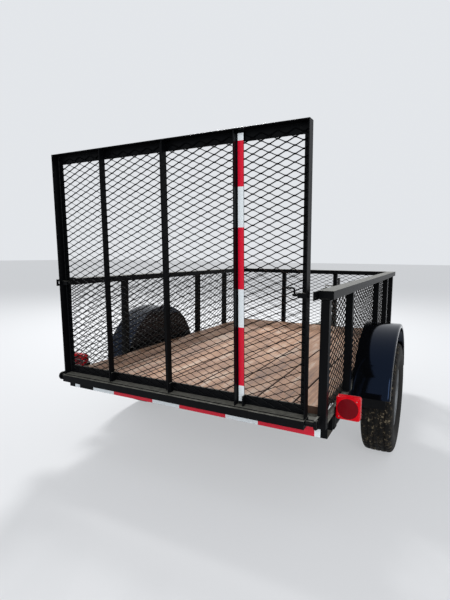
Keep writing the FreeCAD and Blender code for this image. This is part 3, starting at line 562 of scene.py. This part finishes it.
boards = solids("deck_boards")
plank_tones = np.random.default_rng(TONE_SEED).permutation(len(boards)) / (len(boards) - 1)
parts, tones, edges = [], [], []
for (low, high), tone in zip(boards, plank_tones):
    width, middle = high[0] - low[0] - 2 * SHRINKAGE, (low + high) / 2
    x, z = rounded_outline(width, high[2] - low[2], EASED_EDGE, 4).T
    drop = CUP * (z > 0) * (1 - np.cos(math.pi * x / width))
    stations = np.linspace(low[1], high[1], PLANK_STATIONS)
    parts.append(tube(middle[0] + x, stations[:, None], middle[2] + z - drop))
    tones.append(np.full(len(x) * PLANK_STATIONS, tone))
    crown = (z > 0) & (np.abs(x) < width / 2 - EASED_EDGE / 2)
    edges.append(np.tile(np.where(crown, 0.0, GAP_SHADE), PLANK_STATIONS))
deck = piece("deck_planks", *joined(parts), pine(), "chassis")
for name, values in (("plank_tone", tones), ("plank_edge", edges)):
    attribute = deck.data.attributes.new(name, "FLOAT", "POINT")
    attribute.data.foreach_set("value", np.concatenate(values))
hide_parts("deck_boards")

# Deck screws: self-drilling screws with dark countersunk heads, two in each plank over every
# crossmember, driven just below the wood.
SCREW_HEAD = 0.0055
SCREW_INSET = 0.030
RUST_SPECK_MM = 3.846
REAR_ROW = 0.013  # the last row's distance from the planks' ends
SCREW_PROFILE = [
    # share of the head's radius, height
    (0.5, -0.004), (0.85, -0.001), (1.0, 0.0002), (0.55, 0.0004), (0.3, -0.0012),
]


def lathe(profile, sides, axis):
    """Profile of (radius, distance) points turned about an axis through the origin."""
    r, h = np.array(profile, float).T[:, :, None]
    a = np.arange(sides) * 2 * math.pi / sides
    points, faces = tube(h, r * np.cos(a), r * np.sin(a))
    return np.roll(points, axis, 1), faces


def phosphate():
    """Black phosphate on screws: flat dark grey with a dull metallic glint and rust specks."""
    material, shader, place = new_material("black phosphate screws")
    specks = node(material, "TexNoise", {"Vector": place, "Scale": 1000 / RUST_SPECK_MM, "Detail": 4.0})
    base = node(material, "ValToRGB", {0: specks}, stops=[(0.45, "#2c2a29"), (0.62, "#5a3a28")])
    feed(shader, {"Base Color": base, "Metallic": 0.6, "Roughness": 0.5})
    return material


crosses = sorted(solids("crossmembers"), key=lambda pair: pair[0][1])
rows = [(low[1] + high[1]) / 2 for low, high in crosses[1:-1]] + [boards[0][0][1] + REAR_ROW]
places = []
for low, high in boards:
    inset = min(SCREW_INSET, (high[0] - low[0]) / 3)
    places += [(x, y, high[2] - CUP) for x in (low[0] + inset, high[0] - inset) for y in rows]
head = lathe([(SCREW_HEAD * share, height) for share, height in SCREW_PROFILE], 12, 2)
piece("deck_screws", *copies(head, places), phosphate(), "chassis")

# Conspicuity tape: two-inch prismatic vinyl in red and silver-white, stuck on the rear
# crossmember and on the right-hand upright of the gate. It is glossy over a fine honeycomb.
TAPE_THICK = 0.0005
SUNK = 0.0002  # depth of its back in the steel, so that no gap shows
INCH = 0.0254
HONEYCOMB_MM = 4.0
TAPE_LIFT = 0.001  # the tape's lower edge above the crossmember's
UPRIGHT_INNER = 0.005  # clear of the root of the upright's angle
UPRIGHT_OUTER = 0.0375  # its far edge, from the back of the angle


def prismatic(name, code):
    """Prismatic vinyl: honeycomb cells under a clear glossy film."""
    material, shader, place = new_material(name)
    cells = node(material, "TexVoronoi", {
        "Vector": place, "Scale": 1000.0 / HONEYCOMB_MM,
    }, feature="DISTANCE_TO_EDGE")
    edge = node(material, "MapRange", {"Value": cells, "From Max": 0.12, "To Min": 0.78, "To Max": 1.0})
    tint = node(material, "Mix", {
        "Factor": 1.0, 6: colour(code), 7: edge,
    }, out=2, data_type="RGBA", blend_type="MULTIPLY")
    bump = node(material, "Bump", {"Height": cells, "Strength": 0.15, "Distance": 0.0003})
    feed(shader, {"Base Color": tint, "Normal": bump, "Roughness": 0.3, "Specular IOR Level": 0.35})
    return material


rear_face = crosses[0][0][1]
tape_low = crosses[0][0][2] + TAPE_LIFT
tape_high = tape_low + 2 * INCH
CROSS_TAPE = {
    # colour: (left end, right end) in inches from the middle of the trailer
    "red": [(-17.62, -6.62), (0.38, 11.38), (18.38, 29.38)],
    "white": [(-24.0, -17.62), (-6.62, 0.38), (11.38, 18.38), (29.38, 30.46), (-29.9, -28.4)],
}
gate_foot = side_angles[0][0][2]
taped_low, taped_high = uprights[-1]
leg_face = taped_high[1] - ANGLE_THICK
UPRIGHT_TAPE = {
    # colour: (lower end, upper end) in inches above the gate's foot
    "red": [(3.8, 14.8), (21.8, 32.8), (39.8, 47.5)],
    "white": [(0.8, 3.8), (14.8, 21.8), (32.8, 39.8), (47.5, 48.7)],
}
TAPES = {"red": prismatic("red prismatic tape", "#d5042c"),
         "white": prismatic("silver-white prismatic tape", "#e6edf1")}
for tint, material in TAPES.items():
    strips = [(a * INCH, b * INCH, rear_face - TAPE_THICK, rear_face + SUNK, tape_low, tape_high)
              for a, b in CROSS_TAPE[tint]]
    piece("crossmember_tape_" + tint, *boxes(strips), material, "chassis")
    strips = [(taped_low[0] + ANGLE_THICK + UPRIGHT_INNER, taped_low[0] + UPRIGHT_OUTER,
               leg_face - TAPE_THICK, leg_face + SUNK, gate_foot + a * INCH, gate_foot + b * INCH)
              for a, b in UPRIGHT_TAPE[tint]]
    points, faces = boxes(strips)
    piece("upright_tape_" + tint, leaned(points), faces, material, "ramp_gate")

# Fenders: one sheet of 2.5 mm steel rolled round the wheel, its outer edge bent down and hemmed,
# welded to a flat inner plate. They carry the deepest gloss on the trailer.
FENDER_RADIUS = 0.455
FENDER_SHEET = 0.0025
FENDER_BEND = 0.014
LIP_DROP = 0.0255  # from the top of the sheet to the lip's lower edge
HEM = 0.006
HEM_RISE = 0.0035
ACROSS_STEPS = 12
ROUND_FENDER_STEPS = 121


def fender(name):
    """Profile carried along an arc: across the top, round the outer bend, down the lip.

    The inner plate is a box section whose top follows the arc and whose foot is level.
    """
    low, high = (np.array(corner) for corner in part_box(name))
    side = 1 if high[0] > 0 else -1
    inner, outer = sorted((abs(low[0]), abs(high[0])))
    centre_y = (low[1] + high[1]) / 2
    centre_z = high[2] - FENDER_RADIUS
    reach = math.acos((low[2] - centre_z) / FENDER_RADIUS)
    bend = np.linspace(math.pi / 2, 0, 9)
    r, lip = FENDER_BEND, FENDER_RADIUS - LIP_DROP
    across = np.concatenate((
        np.linspace(inner, outer - r, ACROSS_STEPS), outer - r + r * np.cos(bend[1:]),
        [outer, outer - 0.001, outer - HEM * 0.7, outer - HEM],
    ))
    out = np.concatenate((
        np.full(ACROSS_STEPS, FENDER_RADIUS), FENDER_RADIUS - r + r * np.sin(bend[1:]),
        [lip + HEM_RISE, lip, lip, lip + HEM_RISE],
    ))
    face = np.stack((across, out), -1)
    tangent = np.gradient(face, axis=0)
    tangent /= np.linalg.norm(tangent, axis=1)[:, None]
    back = face + FENDER_SHEET * np.stack((tangent[:, 1], -tangent[:, 0]), -1)
    x, radius = np.concatenate((face, back[::-1])).T
    turn = np.linspace(-reach, reach, ROUND_FENDER_STEPS)[:, None]
    sin, cos = np.sin(turn), np.cos(turn)
    shell = tube(side * x, centre_y + radius * sin, np.maximum(centre_z + radius * cos, low[2]))
    arc = FENDER_RADIUS - FENDER_SHEET / 2
    plate = tube(side * (inner + FENDER_SHEET * np.array((0, 0, 1, 1))), centre_y + arc * sin,
                 np.where((1, 0, 0, 1), centre_z + arc * cos, low[2]))
    return joined([shell, plate])


# The blue tint of the fenders' reflection is a painted sky reflection.
fender_enamel = black_enamel("deep black enamel on fenders", 6.0, gloss=0.06, dust_height_m=0.45,
                             settled=0.0, specular=0.50, tint="#728fc4")
for name in both("fender"):
    shell = piece(name + "_shell", *fender(name), fender_enamel, "chassis", smooth=True)
    shell.data.set_sharp_from_angle(angle=math.radians(35))
    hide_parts(name)

# Tail lamps: red acrylic lens box clipped on a black housing, with a round optic moulded inside
# the lens and two stainless screws through it.
LENS_CORNER = 0.10  # share of the lens's width
LENS_STEP = 0.038  # depth of the lens
LENS_TRIM = 0.002
OPTIC_RADIUS = 0.045
OPTIC_EDGE = 0.049
OPTIC_RIB = 0.004
LENS_SCREW_AWAY = 0.040
PLASTIC_GRAIN_MM = 1.111  # grain and flakes are coarser than real ones, so that they show
FLAKE_MM = 2.0
GLOSS_PATCH_MM = 71.43
LENS_SCREW = [
    # radius, height
    (0.0010, 0.0008), (0.0021, 0.0007), (0.0025, 0.0002), (0.0025, -0.002),
]


def off_axis(material, place, centre, across):
    """Distance from a line through centre; across is 0 along the line's axis and 1 elsewhere."""
    away = node(material, "VectorMath", {0: place, 1: centre}, operation="SUBTRACT")
    flat = node(material, "VectorMath", {0: away, 1: across}, operation="MULTIPLY")
    return node(material, "VectorMath", {0: flat}, out="Value", operation="LENGTH")


def red_acrylic(centre):
    """Moulded lens: clear red over rings of optic ribs about its centre, brighter at its rim."""
    material, shader, place = new_material("red acrylic lens")
    distance = off_axis(material, place, centre, (1.0, 0.0, 1.0))
    inside = node(material, "MapRange", {
        "Value": distance, "From Min": OPTIC_RADIUS, "From Max": OPTIC_EDGE,
    })
    base = node(material, "ValToRGB", {0: inside}, stops=[
        (0.0, "#6e000d"), (0.5, "#4c0007"), (1.0, "#d20014"),
    ])
    ribs = node(material, "Math", {0: distance, 1: 2 * math.pi / OPTIC_RIB}, operation="MULTIPLY")
    wave = node(material, "Math", {0: ribs}, operation="SINE")
    bump = node(material, "Bump", {"Height": wave, "Strength": 0.35, "Distance": 0.0006})
    feed(shader, {
        "Base Color": base, "Normal": bump, "Roughness": 0.2, "IOR": 1.49,
        "Specular IOR Level": 0.12, "Subsurface Weight": 0.15, "Subsurface Scale": 0.01,
    })
    return material


def black_plastic(name):
    """Moulded black plastic with a fine grain."""
    material, shader, place = new_material(name)
    grain = node(material, "TexNoise", {"Vector": place, "Scale": 1000 / PLASTIC_GRAIN_MM, "Detail": 3.0})
    base = node(material, "ValToRGB", {0: grain}, stops=[(0.3, "#0c0d0e"), (0.7, "#17181a")])
    bump = node(material, "Bump", {"Height": grain, "Strength": 0.2, "Distance": 0.0003})
    feed(shader, {"Base Color": base, "Normal": bump, "Roughness": 0.45})
    return material


def bright_metal(name, dark, light, rough, metallic):
    """Plated or painted metal: flakes or crystals of two tones, whose gloss varies with them."""
    material, shader, place = new_material(name)
    flake = node(material, "TexNoise", {"Vector": place, "Scale": 1000 / FLAKE_MM, "Detail": 3.0})
    patch = node(material, "TexNoise", {
        "Vector": place, "Scale": 1000 / GLOSS_PATCH_MM, "Detail": 6.0, "Roughness": 0.7,
    })
    both_scales = node(material, "Math", {0: flake, 1: patch, 2: 0.2}, operation="MULTIPLY_ADD")
    base = node(material, "ValToRGB", {0: both_scales}, stops=[(0.36, dark), (0.52, light)])
    level = node(material, "MapRange", {"Value": patch, "To Min": rough, "To Max": rough + 0.25})
    feed(shader, {"Base Color": base, "Roughness": level, "Metallic": metallic})
    return material


def block_stack(centre_x, centre_z, layers):
    """Rounded squares of (y, half width) stacked along Y into a closed block."""
    x, z = rounded_outline(1.0, 1.0, LENS_CORNER, 6).T
    y, half = np.array(layers).T[:, :, None]
    return tube(centre_x + 2 * half * x, y, centre_z + 2 * half * z)


zinc = bright_metal("bright zinc plate", "#7e807c", "#c2c3bd", 0.24, 1.0)
housing_plastic = black_plastic("black moulded lamp housing")
for label, (low, high) in zip(("left", "right"), solids("tail_lamps")):
    half = (high[2] - low[2]) / 2 - LENS_TRIM
    x, _, z = (low + high) / 2
    y0, y1 = low[1], high[1]
    seam = y0 + LENS_STEP
    layers = [(y1, half - 0.004), (y1 - 0.002, half - 0.002), (seam, half - 0.002)]
    housing = piece("lamp_housing_" + label, *block_stack(x, z, layers), housing_plastic, "chassis")
    layers = [(seam, half), (y0 + 0.010, half), (y0 + 0.004, half - 0.002),
              (y0 + 0.0012, half - 0.007), (y0 + 0.0006, half - 0.012)]
    lens = piece("lamp_lens_" + label, *block_stack(x, z, layers), red_acrylic((x, 0.0, z)), "chassis")
    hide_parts("tail_lamps")
    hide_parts("tail_lamps")
    points, faces = lathe(LENS_SCREW, 14, 1)
    corners = [(x + s * LENS_SCREW_AWAY, y0, z + s * LENS_SCREW_AWAY) for s in (-1, 1)]
    piece("lamp_screws_" + label, *copies((points * (1, -1, 1), faces), corners), zinc, "chassis",
          smooth=True)

# Tyres: 205-wide trailer tyres of black rubber, moulded with zigzag ribs, sipes and a plain
# sidewall. The tread is greyed by dust, and brown soil sits in its grooves.


def smooth_line(points, count):
    """Points along a smooth curve through the given ones: Catmull-Rom cubic between them."""
    p = np.asarray(points, float)
    p = np.vstack((2 * p[0] - p[1], p, 2 * p[-1] - p[-2]))
    u = np.linspace(0, len(p) - 3, count)
    i = np.minimum(u.astype(int), len(p) - 4)
    f = (u - i)[:, None]
    a, b, c, d = p[i], p[i + 1], p[i + 2], p[i + 3]
    return 0.5 * (2 * b + (c - a) * f + (2 * a - 5 * b + 4 * c - d) * f ** 2
                  + (3 * b - a - 3 * c + d) * f ** 3)


def step_up(value, edge, blur):
    """0 below an edge, 1 above it, eased over blur."""
    t = np.clip((value - edge) / blur + 0.5, 0, 1)
    return t * t * (3 - 2 * t)


HALF_TYRE = [
    # millimetres from the wheel's middle plane, radius
    (64.5, 191), (67.5, 203), (78, 220), (88, 243), (93.2, 268), (92.5, 294), (87.5, 316),
    (80, 331), (72, 338.5), (62, 341.5), (40, 343.2), (20, 343.9),
]
TYRE_RADIUS = 344.0
SIDEWALL_TOP = 320
SIDE_RIBS = (216.0, 300.0, 312.0)
SIDE_RIB_HEIGHT = 1.1
SIDE_RIB_WIDTH = 1.6
GROOVES = (-46.0, -16.0, 16.0, 46.0)
GROOVE_DEPTH = 8.0
ZIGZAG = 3.0
SLOT_DEPTH = 0.8  # share of the groove's depth
SIPE_DEPTH = 0.45
# Edge of each step in the tread and its fade, in millimetres or shares of a pitch.
GROOVE_WALL = (4.25, 1.8)
SLOT_WALL = (0.13, 0.08)
SIPE_WALL = (0.05, 0.05)
SIPED_MIDDLE = (40, 4)
SHOULDER_START = (54, 4)
SHOULDER_END = (88, 5)
TREAD_BOTTOM = (322, 10)
PITCHES = 56
ROUND_STEPS = 448
LINE_STEPS = 139
DUST_PATCH_MM = 33.333
SOIL_MM = 13.333
MOULD_GRAIN_MM = 2.381  # coarser than the mould's, so that it shows


def tyre(side):
    """Outline turned about the axle, less grooves whose place zigzags with the angle."""
    half = np.array(HALF_TYRE)
    x, r = smooth_line(np.concatenate((half, half[::-1] * (-1, 1))), LINE_STEPS).T
    ribs = sum(np.exp(-((r - rib) / SIDE_RIB_WIDTH) ** 2) for rib in SIDE_RIBS)
    x = x - np.sign(x) * SIDE_RIB_HEIGHT * (1 - np.minimum(ribs, 1)) * (r < SIDEWALL_TOP)
    r = np.minimum(r, TYRE_RADIUS)
    angle = np.arange(ROUND_STEPS)[:, None] * 2 * math.pi / ROUND_STEPS
    phase = (angle * PITCHES / (2 * math.pi)) % 1
    wave = np.abs(phase - 0.5) * 4 - 1
    cut = 0.0
    for groove in GROOVES:
        cut = np.maximum(cut, 1 - step_up(np.abs(x - groove - ZIGZAG * wave), *GROOVE_WALL))
    slot = 1 - step_up(np.abs(phase - 0.5), *SLOT_WALL)
    shoulder = step_up(np.abs(x), *SHOULDER_START) * (1 - step_up(np.abs(x), *SHOULDER_END))
    sipe = 1 - step_up(np.abs((phase + 0.5) % 1 - 0.5), *SIPE_WALL)
    cut = np.maximum(cut, SLOT_DEPTH * slot * shoulder)
    cut = np.maximum(cut, SIPE_DEPTH * sipe * (1 - step_up(np.abs(x), *SIPED_MIDDLE)))
    r = (r - GROOVE_DEPTH * cut * step_up(r, *TREAD_BOTTOM)) / 1000
    y, z = WHEEL_Y + r * np.sin(angle), WHEEL_Z + r * np.cos(angle)
    return tube(side * (WHEEL_X + x / 1000), y, z, closed=True)


def rubber():
    """Moulded rubber: charcoal, greyed by dust in patches, brown soil caked on the tread."""
    material, shader, place = new_material("black moulded rubber")
    patch = node(material, "TexNoise", {
        "Vector": place, "Scale": 1000 / DUST_PATCH_MM, "Detail": 8.0, "Roughness": 0.75,
    })
    soil = node(material, "TexNoise", {
        "Vector": place, "Scale": 1000 / SOIL_MM, "Detail": 6.0, "Roughness": 0.7,
    })
    caked = node(material, "Math", {0: soil, 1: patch}, operation="MULTIPLY")
    base = node(material, "ValToRGB", {0: caked}, stops=[
        (0.22, "#080808"), (0.28, "#14120f"), (0.32, "#453d31"), (0.38, "#958a73"),
    ])
    reach = off_axis(material, place, (0.0, WHEEL_Y, WHEEL_Z), (0.0, 1.0, 1.0))
    on_tread = node(material, "MapRange", {"Value": reach, "From Min": 0.310, "From Max": 0.338})
    wall = node(material, "ValToRGB", {0: patch}, stops=[(0.35, "#0e0e0f"), (0.7, "#24221f")])
    final = node(material, "Mix", {"Factor": on_tread, 6: wall, 7: base}, out=2, data_type="RGBA")
    grain = node(material, "TexNoise", {"Vector": place, "Scale": 1000 / MOULD_GRAIN_MM, "Detail": 5.0})
    bump = node(material, "Bump", {"Height": grain, "Strength": 0.4, "Distance": 0.001})
    rough = node(material, "MapRange", {"Value": patch, "To Min": 0.5, "To Max": 0.9})
    feed(shader, {"Base Color": final, "Normal": bump, "Roughness": rough, "Specular IOR Level": 0.15})
    return material


WHEEL_X, WHEEL_Y, WHEEL_Z = np.add(*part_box("tyre_right")) / 2
SIDES = ((1, "right"), (-1, "left"))
tyre_rubber = rubber()
for side, label in SIDES:
    ring = piece("tyre_tread_" + label, *tyre(side), tyre_rubber, "wheel_" + label, smooth=True)
    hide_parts("tyre_" + label)

# Wheels: pressed steel barrel and disc, sprayed silver, held to a cast hub by five zinc-plated
# cone-seat nuts. A pressed cap closes the hub, and a rubber valve stands beside one window.
# The silver is drawn as a dark grey: painted shade, for the shade that the wheels stand in.
BOLT_CIRCLE = 0.0572  # radius of the circle that the nuts stand on
LUG_COUNT = 5
NUT_RADIUS = 0.0115
CAP_RADIUS = 0.030
CAP_HEIGHT = 0.020
CAP_RIM = 0.003
CAP_WALL = 0.006  # height of the cap's straight wall
HUB_STEP = 0.014  # from the hub's end back to the face of the disc
VALVE_PLACE = 0.162
# Dark grey stops instead of bright silver: painted shade on the wheels.
silver = bright_metal("silver paint on pressed steel", "#5c5f62", "#808386", 0.45, 0.25)
dress(both("rim"), silver)
ease(both("rim"), EASED, 60)
dress(both("hub"), enamel)
# Profiles of radius and distance out from the wheel.
cap = [(CAP_RADIUS + CAP_RIM, 0.0), (CAP_RADIUS + CAP_RIM, CAP_RIM), (CAP_RADIUS, CAP_RIM)]
cap += [(max(CAP_RADIUS * math.cos(a), 0.0004), CAP_WALL + (CAP_HEIGHT - CAP_WALL) * math.sin(a))
        for a in np.linspace(0, math.pi / 2, 8)]
nut = [(NUT_RADIUS * 0.8, 0.0), (NUT_RADIUS, 0.004), (NUT_RADIUS, 0.016),
       (NUT_RADIUS * 0.75, 0.019), (NUT_RADIUS * 0.35, 0.020)]
valve = [(0.0055, 0.0), (0.0050, 0.008), (0.0036, 0.012), (0.0034, 0.026), (0.0042, 0.027),
         (0.0042, 0.036), (0.0030, 0.037)]
hub_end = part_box("hub_right")[1].x
disc_face = hub_end - HUB_STEP
lug_angles = np.arange(LUG_COUNT) * 2 * math.pi / LUG_COUNT
for side, label in SIDES:
    lugs = [(disc_face, WHEEL_Y + BOLT_CIRCLE * math.cos(a), WHEEL_Z + BOLT_CIRCLE * math.sin(a))
            for a in lug_angles]
    sets = [
        ("hub_cap_", copies(lathe(cap, 40, 0), [(hub_end, WHEEL_Y, WHEEL_Z)]), zinc, True),
        ("lug_nuts_", copies(lathe(nut, 6, 0), lugs), zinc, False),
        ("valve_", copies(lathe(valve, 16, 0), [(disc_face, WHEEL_Y, WHEEL_Z + VALVE_PLACE)]),
         housing_plastic, True),
    ]
    for stem, (points, faces), material, smooth in sets:
        piece(stem + label, points * (side, 1, 1), faces, material, "wheel_" + label, smooth)

# Axle seats: on each spring two U-bolts clamp the axle tube through a plate below the leaves,
# with a nut on each end. The bolts and nuts are zinc-plated steel, the plates are enamelled.
U_ROD = 0.006
U_RADIUS = 0.037
U_APART = 0.029
PLATE_HALF = (0.040, 0.052)
PLATE_THICK = 0.008
LEAF_STACK = 0.024
AXLE_RADIUS = 0.030
U_FOOT = 0.018  # thread that stands out below the plate
NUT_FOOT = 0.011
plate_top = WHEEL_Z - AXLE_RADIUS - LEAF_STACK
rods, plates, nuts = [], [], []
hexagon = lathe([(0.0105, 0.0), (0.0105, 0.010), (0.0070, 0.011)], 6, 2)
for low, high in solids("leaf_springs"):
    middle = (low[0] + high[0]) / 2
    plates.append((middle - PLATE_HALF[0], middle + PLATE_HALF[0], WHEEL_Y - PLATE_HALF[1],
                   WHEEL_Y + PLATE_HALF[1], plate_top - PLATE_THICK, plate_top))
    for x in (middle - U_APART, middle + U_APART):
        foot = plate_top - PLATE_THICK - U_FOOT
        path = [(x, WHEEL_Y + U_RADIUS, z) for z in np.linspace(foot, WHEEL_Z, 6)[:-1]]
        path += [(x, WHEEL_Y + U_RADIUS * math.cos(a), WHEEL_Z + U_RADIUS * math.sin(a))
                 for a in np.linspace(0, math.pi, 25)]
        path += [(x, WHEEL_Y - U_RADIUS, z) for z in np.linspace(WHEEL_Z, foot, 6)[1:]]
        rods.append(swept(path, U_ROD, 12, (1.0, 0.0, 0.0)))
        nuts += [(x, WHEEL_Y + s * U_RADIUS, plate_top - PLATE_THICK - NUT_FOOT) for s in (-1, 1)]
piece("u_bolts", *joined(rods), zinc, "chassis", smooth=True)
piece("u_bolt_nuts", *copies(hexagon, nuts), zinc, "chassis")
piece("spring_plates", *boxes(plates), enamel, "chassis")

# Gate hardware: each hinge pin has a washer and a split pin outside its ear, and each latch pin
# a bent pull. They went under the sprayer with the gate, so they are enamelled too.
PIN_RADIUS = 0.0125
WASHER_RADIUS = 0.021
WASHER_THICK = 0.003
SPLIT_PIN_PLACE = 0.0052  # from the ear's outer face
SPLIT_PIN_RADIUS = 0.0018
PULL_PLACE = 0.008  # of the pull's upright part, in from the end of the latch pin
PULL_RISE = 0.020
PULL_BEND = 0.010
PULL_RADIUS = 0.0042
PULL_FOOT = -0.004  # below the middle of the latch pin
PULL_REACH = (0.006, 0.030)  # of the pull's level part, in from the bend
SPLIT_PIN_SPAN = (-0.018, 0.020)  # about the hinge's axis
dress(["gate_latch_pins"], enamel)
parts, pulls = [], []
points, faces = lathe([(PIN_RADIUS, 0.0), (WASHER_RADIUS, 0.0), (WASHER_RADIUS, WASHER_THICK),
                       (PIN_RADIUS, WASHER_THICK)], 32, 0)
for side, (low, high) in zip((-1, 1), solids("hinge_ears")):
    outer = high[0] if side > 0 else -low[0]
    parts.append(((points + (outer, GATE_HINGE[1], GATE_HINGE[2])) * (side, 1, 1), faces))
    path = [(side * (outer + SPLIT_PIN_PLACE), GATE_HINGE[1], GATE_HINGE[2] + z)
            for z in np.linspace(*SPLIT_PIN_SPAN, 12)]
    parts.append(swept(path, SPLIT_PIN_RADIUS, 8, (1.0, 0.0, 0.0)))
piece("hinge_washers", *joined(parts), enamel, "ramp_gate")
for side, (low, high) in zip((-1, 1), solids("gate_latch_pins", stand_up=True)):
    end = high[0] if side < 0 else low[0]
    _, y, z = (low + high) / 2
    path = [(end + side * PULL_PLACE, y, z + d) for d in np.linspace(PULL_FOOT, PULL_RISE, 5)]
    path += [(end + side * PULL_PLACE - side * PULL_BEND * (1 - math.cos(a)), y,
              z + PULL_RISE + PULL_BEND * math.sin(a)) for a in np.linspace(0, math.pi / 2, 7)[1:]]
    path += [(end + side * (PULL_PLACE - PULL_BEND - d), y, z + PULL_RISE + PULL_BEND)
             for d in np.linspace(*PULL_REACH, 5)]
    pulls.append(swept(path, PULL_RADIUS, 12, (0.0, 1.0, 0.0)))
points, faces = joined(pulls)
piece("latch_pulls", leaned(points), faces, enamel, "ramp_gate", smooth=True)

# Tongue: the coupler and the jack's plate are bolted through the beams, the crank has a ribbed
# plastic grip, and the coupler's lever is closed.
dress(["jack_leg", "jack_crank", "coupler_latch"], zinc)
ease(["coupler_latch"], EASED, 50)
RIB_PITCH = 0.009
RIB_HEIGHT = 0.0009
GRIP_RADIUS = 0.013
GRIP_LENGTH = 0.090
JACK_BOLTS = [(x, y) for x in (-0.040, 0.040) for y in (-0.042, 0.042)]
COUPLER_BOLTS = [(s * x, y) for s in (-1, 1) for x, y in ((0.088, 0.030), (0.060, 0.085))]
JACK_PLATE = 0.008
COUPLER_PLATE = 0.006
leg_low, leg_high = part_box("jack_leg")
crank_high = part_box("jack_crank")[1]
jack_y = (leg_low.y + leg_high.y) / 2
beam_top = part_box("tongue_beam_right")[1].z
length = np.linspace(0, GRIP_LENGTH, 61)
ribs = np.maximum(np.cos(2 * math.pi * length / RIB_PITCH), -0.2)
ribbed = GRIP_RADIUS + 0.0006 + RIB_HEIGHT * ribs
grip = lathe([(0.004, -0.0002)] + list(zip(ribbed, length)) + [(0.004, GRIP_LENGTH + 0.0004)], 28, 2)
grip_foot = (crank_high.x - GRIP_RADIUS, jack_y, crank_high.z - GRIP_LENGTH)
piece("crank_grip", *copies(grip, [grip_foot]), housing_plastic, "chassis", smooth=True)
bolts = [(x, jack_y + y, beam_top + JACK_PLATE) for x, y in JACK_BOLTS]
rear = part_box("coupler")[0].y
bolts += [(x, rear + y, beam_top + COUPLER_PLATE) for x, y in COUPLER_BOLTS]
piece("tongue_bolts", *copies(hexagon, bolts), zinc, "chassis")

# Studio: a pale plain floor and room. A broad lamp high in front and to the left lights the deck,
# and a weak broad one behind the camera opens up the shaded rear.
FLOOR = 60.0
FLOOR_PATCH = 40.0  # width of a patch of slightly another tone
floor_material, floor_shader = new_material("pale studio floor")[:2]
floor_tone = node(floor_material, "TexNoise", {"Scale": 2 * FLOOR / FLOOR_PATCH})
floor_colour = node(floor_material, "ValToRGB", {0: floor_tone}, stops=[
    (0.0, "#dcdddf"), (1.0, "#e2e3e4"),
])
feed(floor_shader, {"Base Color": floor_colour, "Roughness": 0.9})
corners = [(-FLOOR, -FLOOR, 0), (FLOOR, -FLOOR, 0), (FLOOR, FLOOR, 0), (-FLOOR, FLOOR, 0)]
floor = piece("floor", corners, [(0, 1, 2, 3)], floor_material, None)


def seen(material):
    """1 for a ray from the camera, off a gloss or through glass, and 0 for the room's own light."""
    rays = node(material, "LightPath").node.outputs
    total = 0.0
    for name in ("Is Camera Ray", "Is Glossy Ray", "Is Transmission Ray"):
        total = node(material, "Math", {0: total, 1: rays[name]}, operation="ADD", use_clamp=True)
    return total


glow = node(floor_material, "Emission", {"Color": colour("#e9ebee"), "Strength": 1.0})
share = node(floor_material, "Math", {0: seen(floor_material), 1: 0.5}, operation="MULTIPLY")
blend = node(floor_material, "MixShader", {0: share, 1: floor_shader.outputs[0], 2: glow})
feed(floor_material.node_tree.get_output_node("ALL"), {"Surface": blend})

world = bpy.data.worlds.new("pale room")
bpy.context.scene.world = world
world.use_nodes = True
sky = world.node_tree.nodes["Background"]
strength = node(world, "MapRange", {"Value": seen(world), "To Min": 0.6, "To Max": 0.92})
feed(sky, {"Color": colour("#eceff3"), "Strength": strength})


def lamp(name, place, aim, size, watts):
    """Square area lamp at a place, turned towards an aim."""
    data = bpy.data.lights.new(name, "AREA")
    data.size = size
    data.energy = watts
    made = bpy.data.objects.new(name, data)
    bpy.context.scene.collection.objects.link(made)
    back = np.array(place, float) - np.array(aim, float)
    back /= np.linalg.norm(back)
    right = np.cross((0, 0, 1), back)
    right /= np.linalg.norm(right)
    turn = Matrix(np.stack((right, np.cross(back, right), back), -1).tolist())
    made.matrix_world = Matrix.Translation(place) @ turn.to_4x4()


lamp("key", place=(-3.2, 4.2, 6.5), aim=(0, -0.5, 0.6), size=1.6, watts=620)
lamp("fill", place=(3.0, -7.0, 3.2), aim=(0, -1.0, 0.6), size=3.5, watts=210)
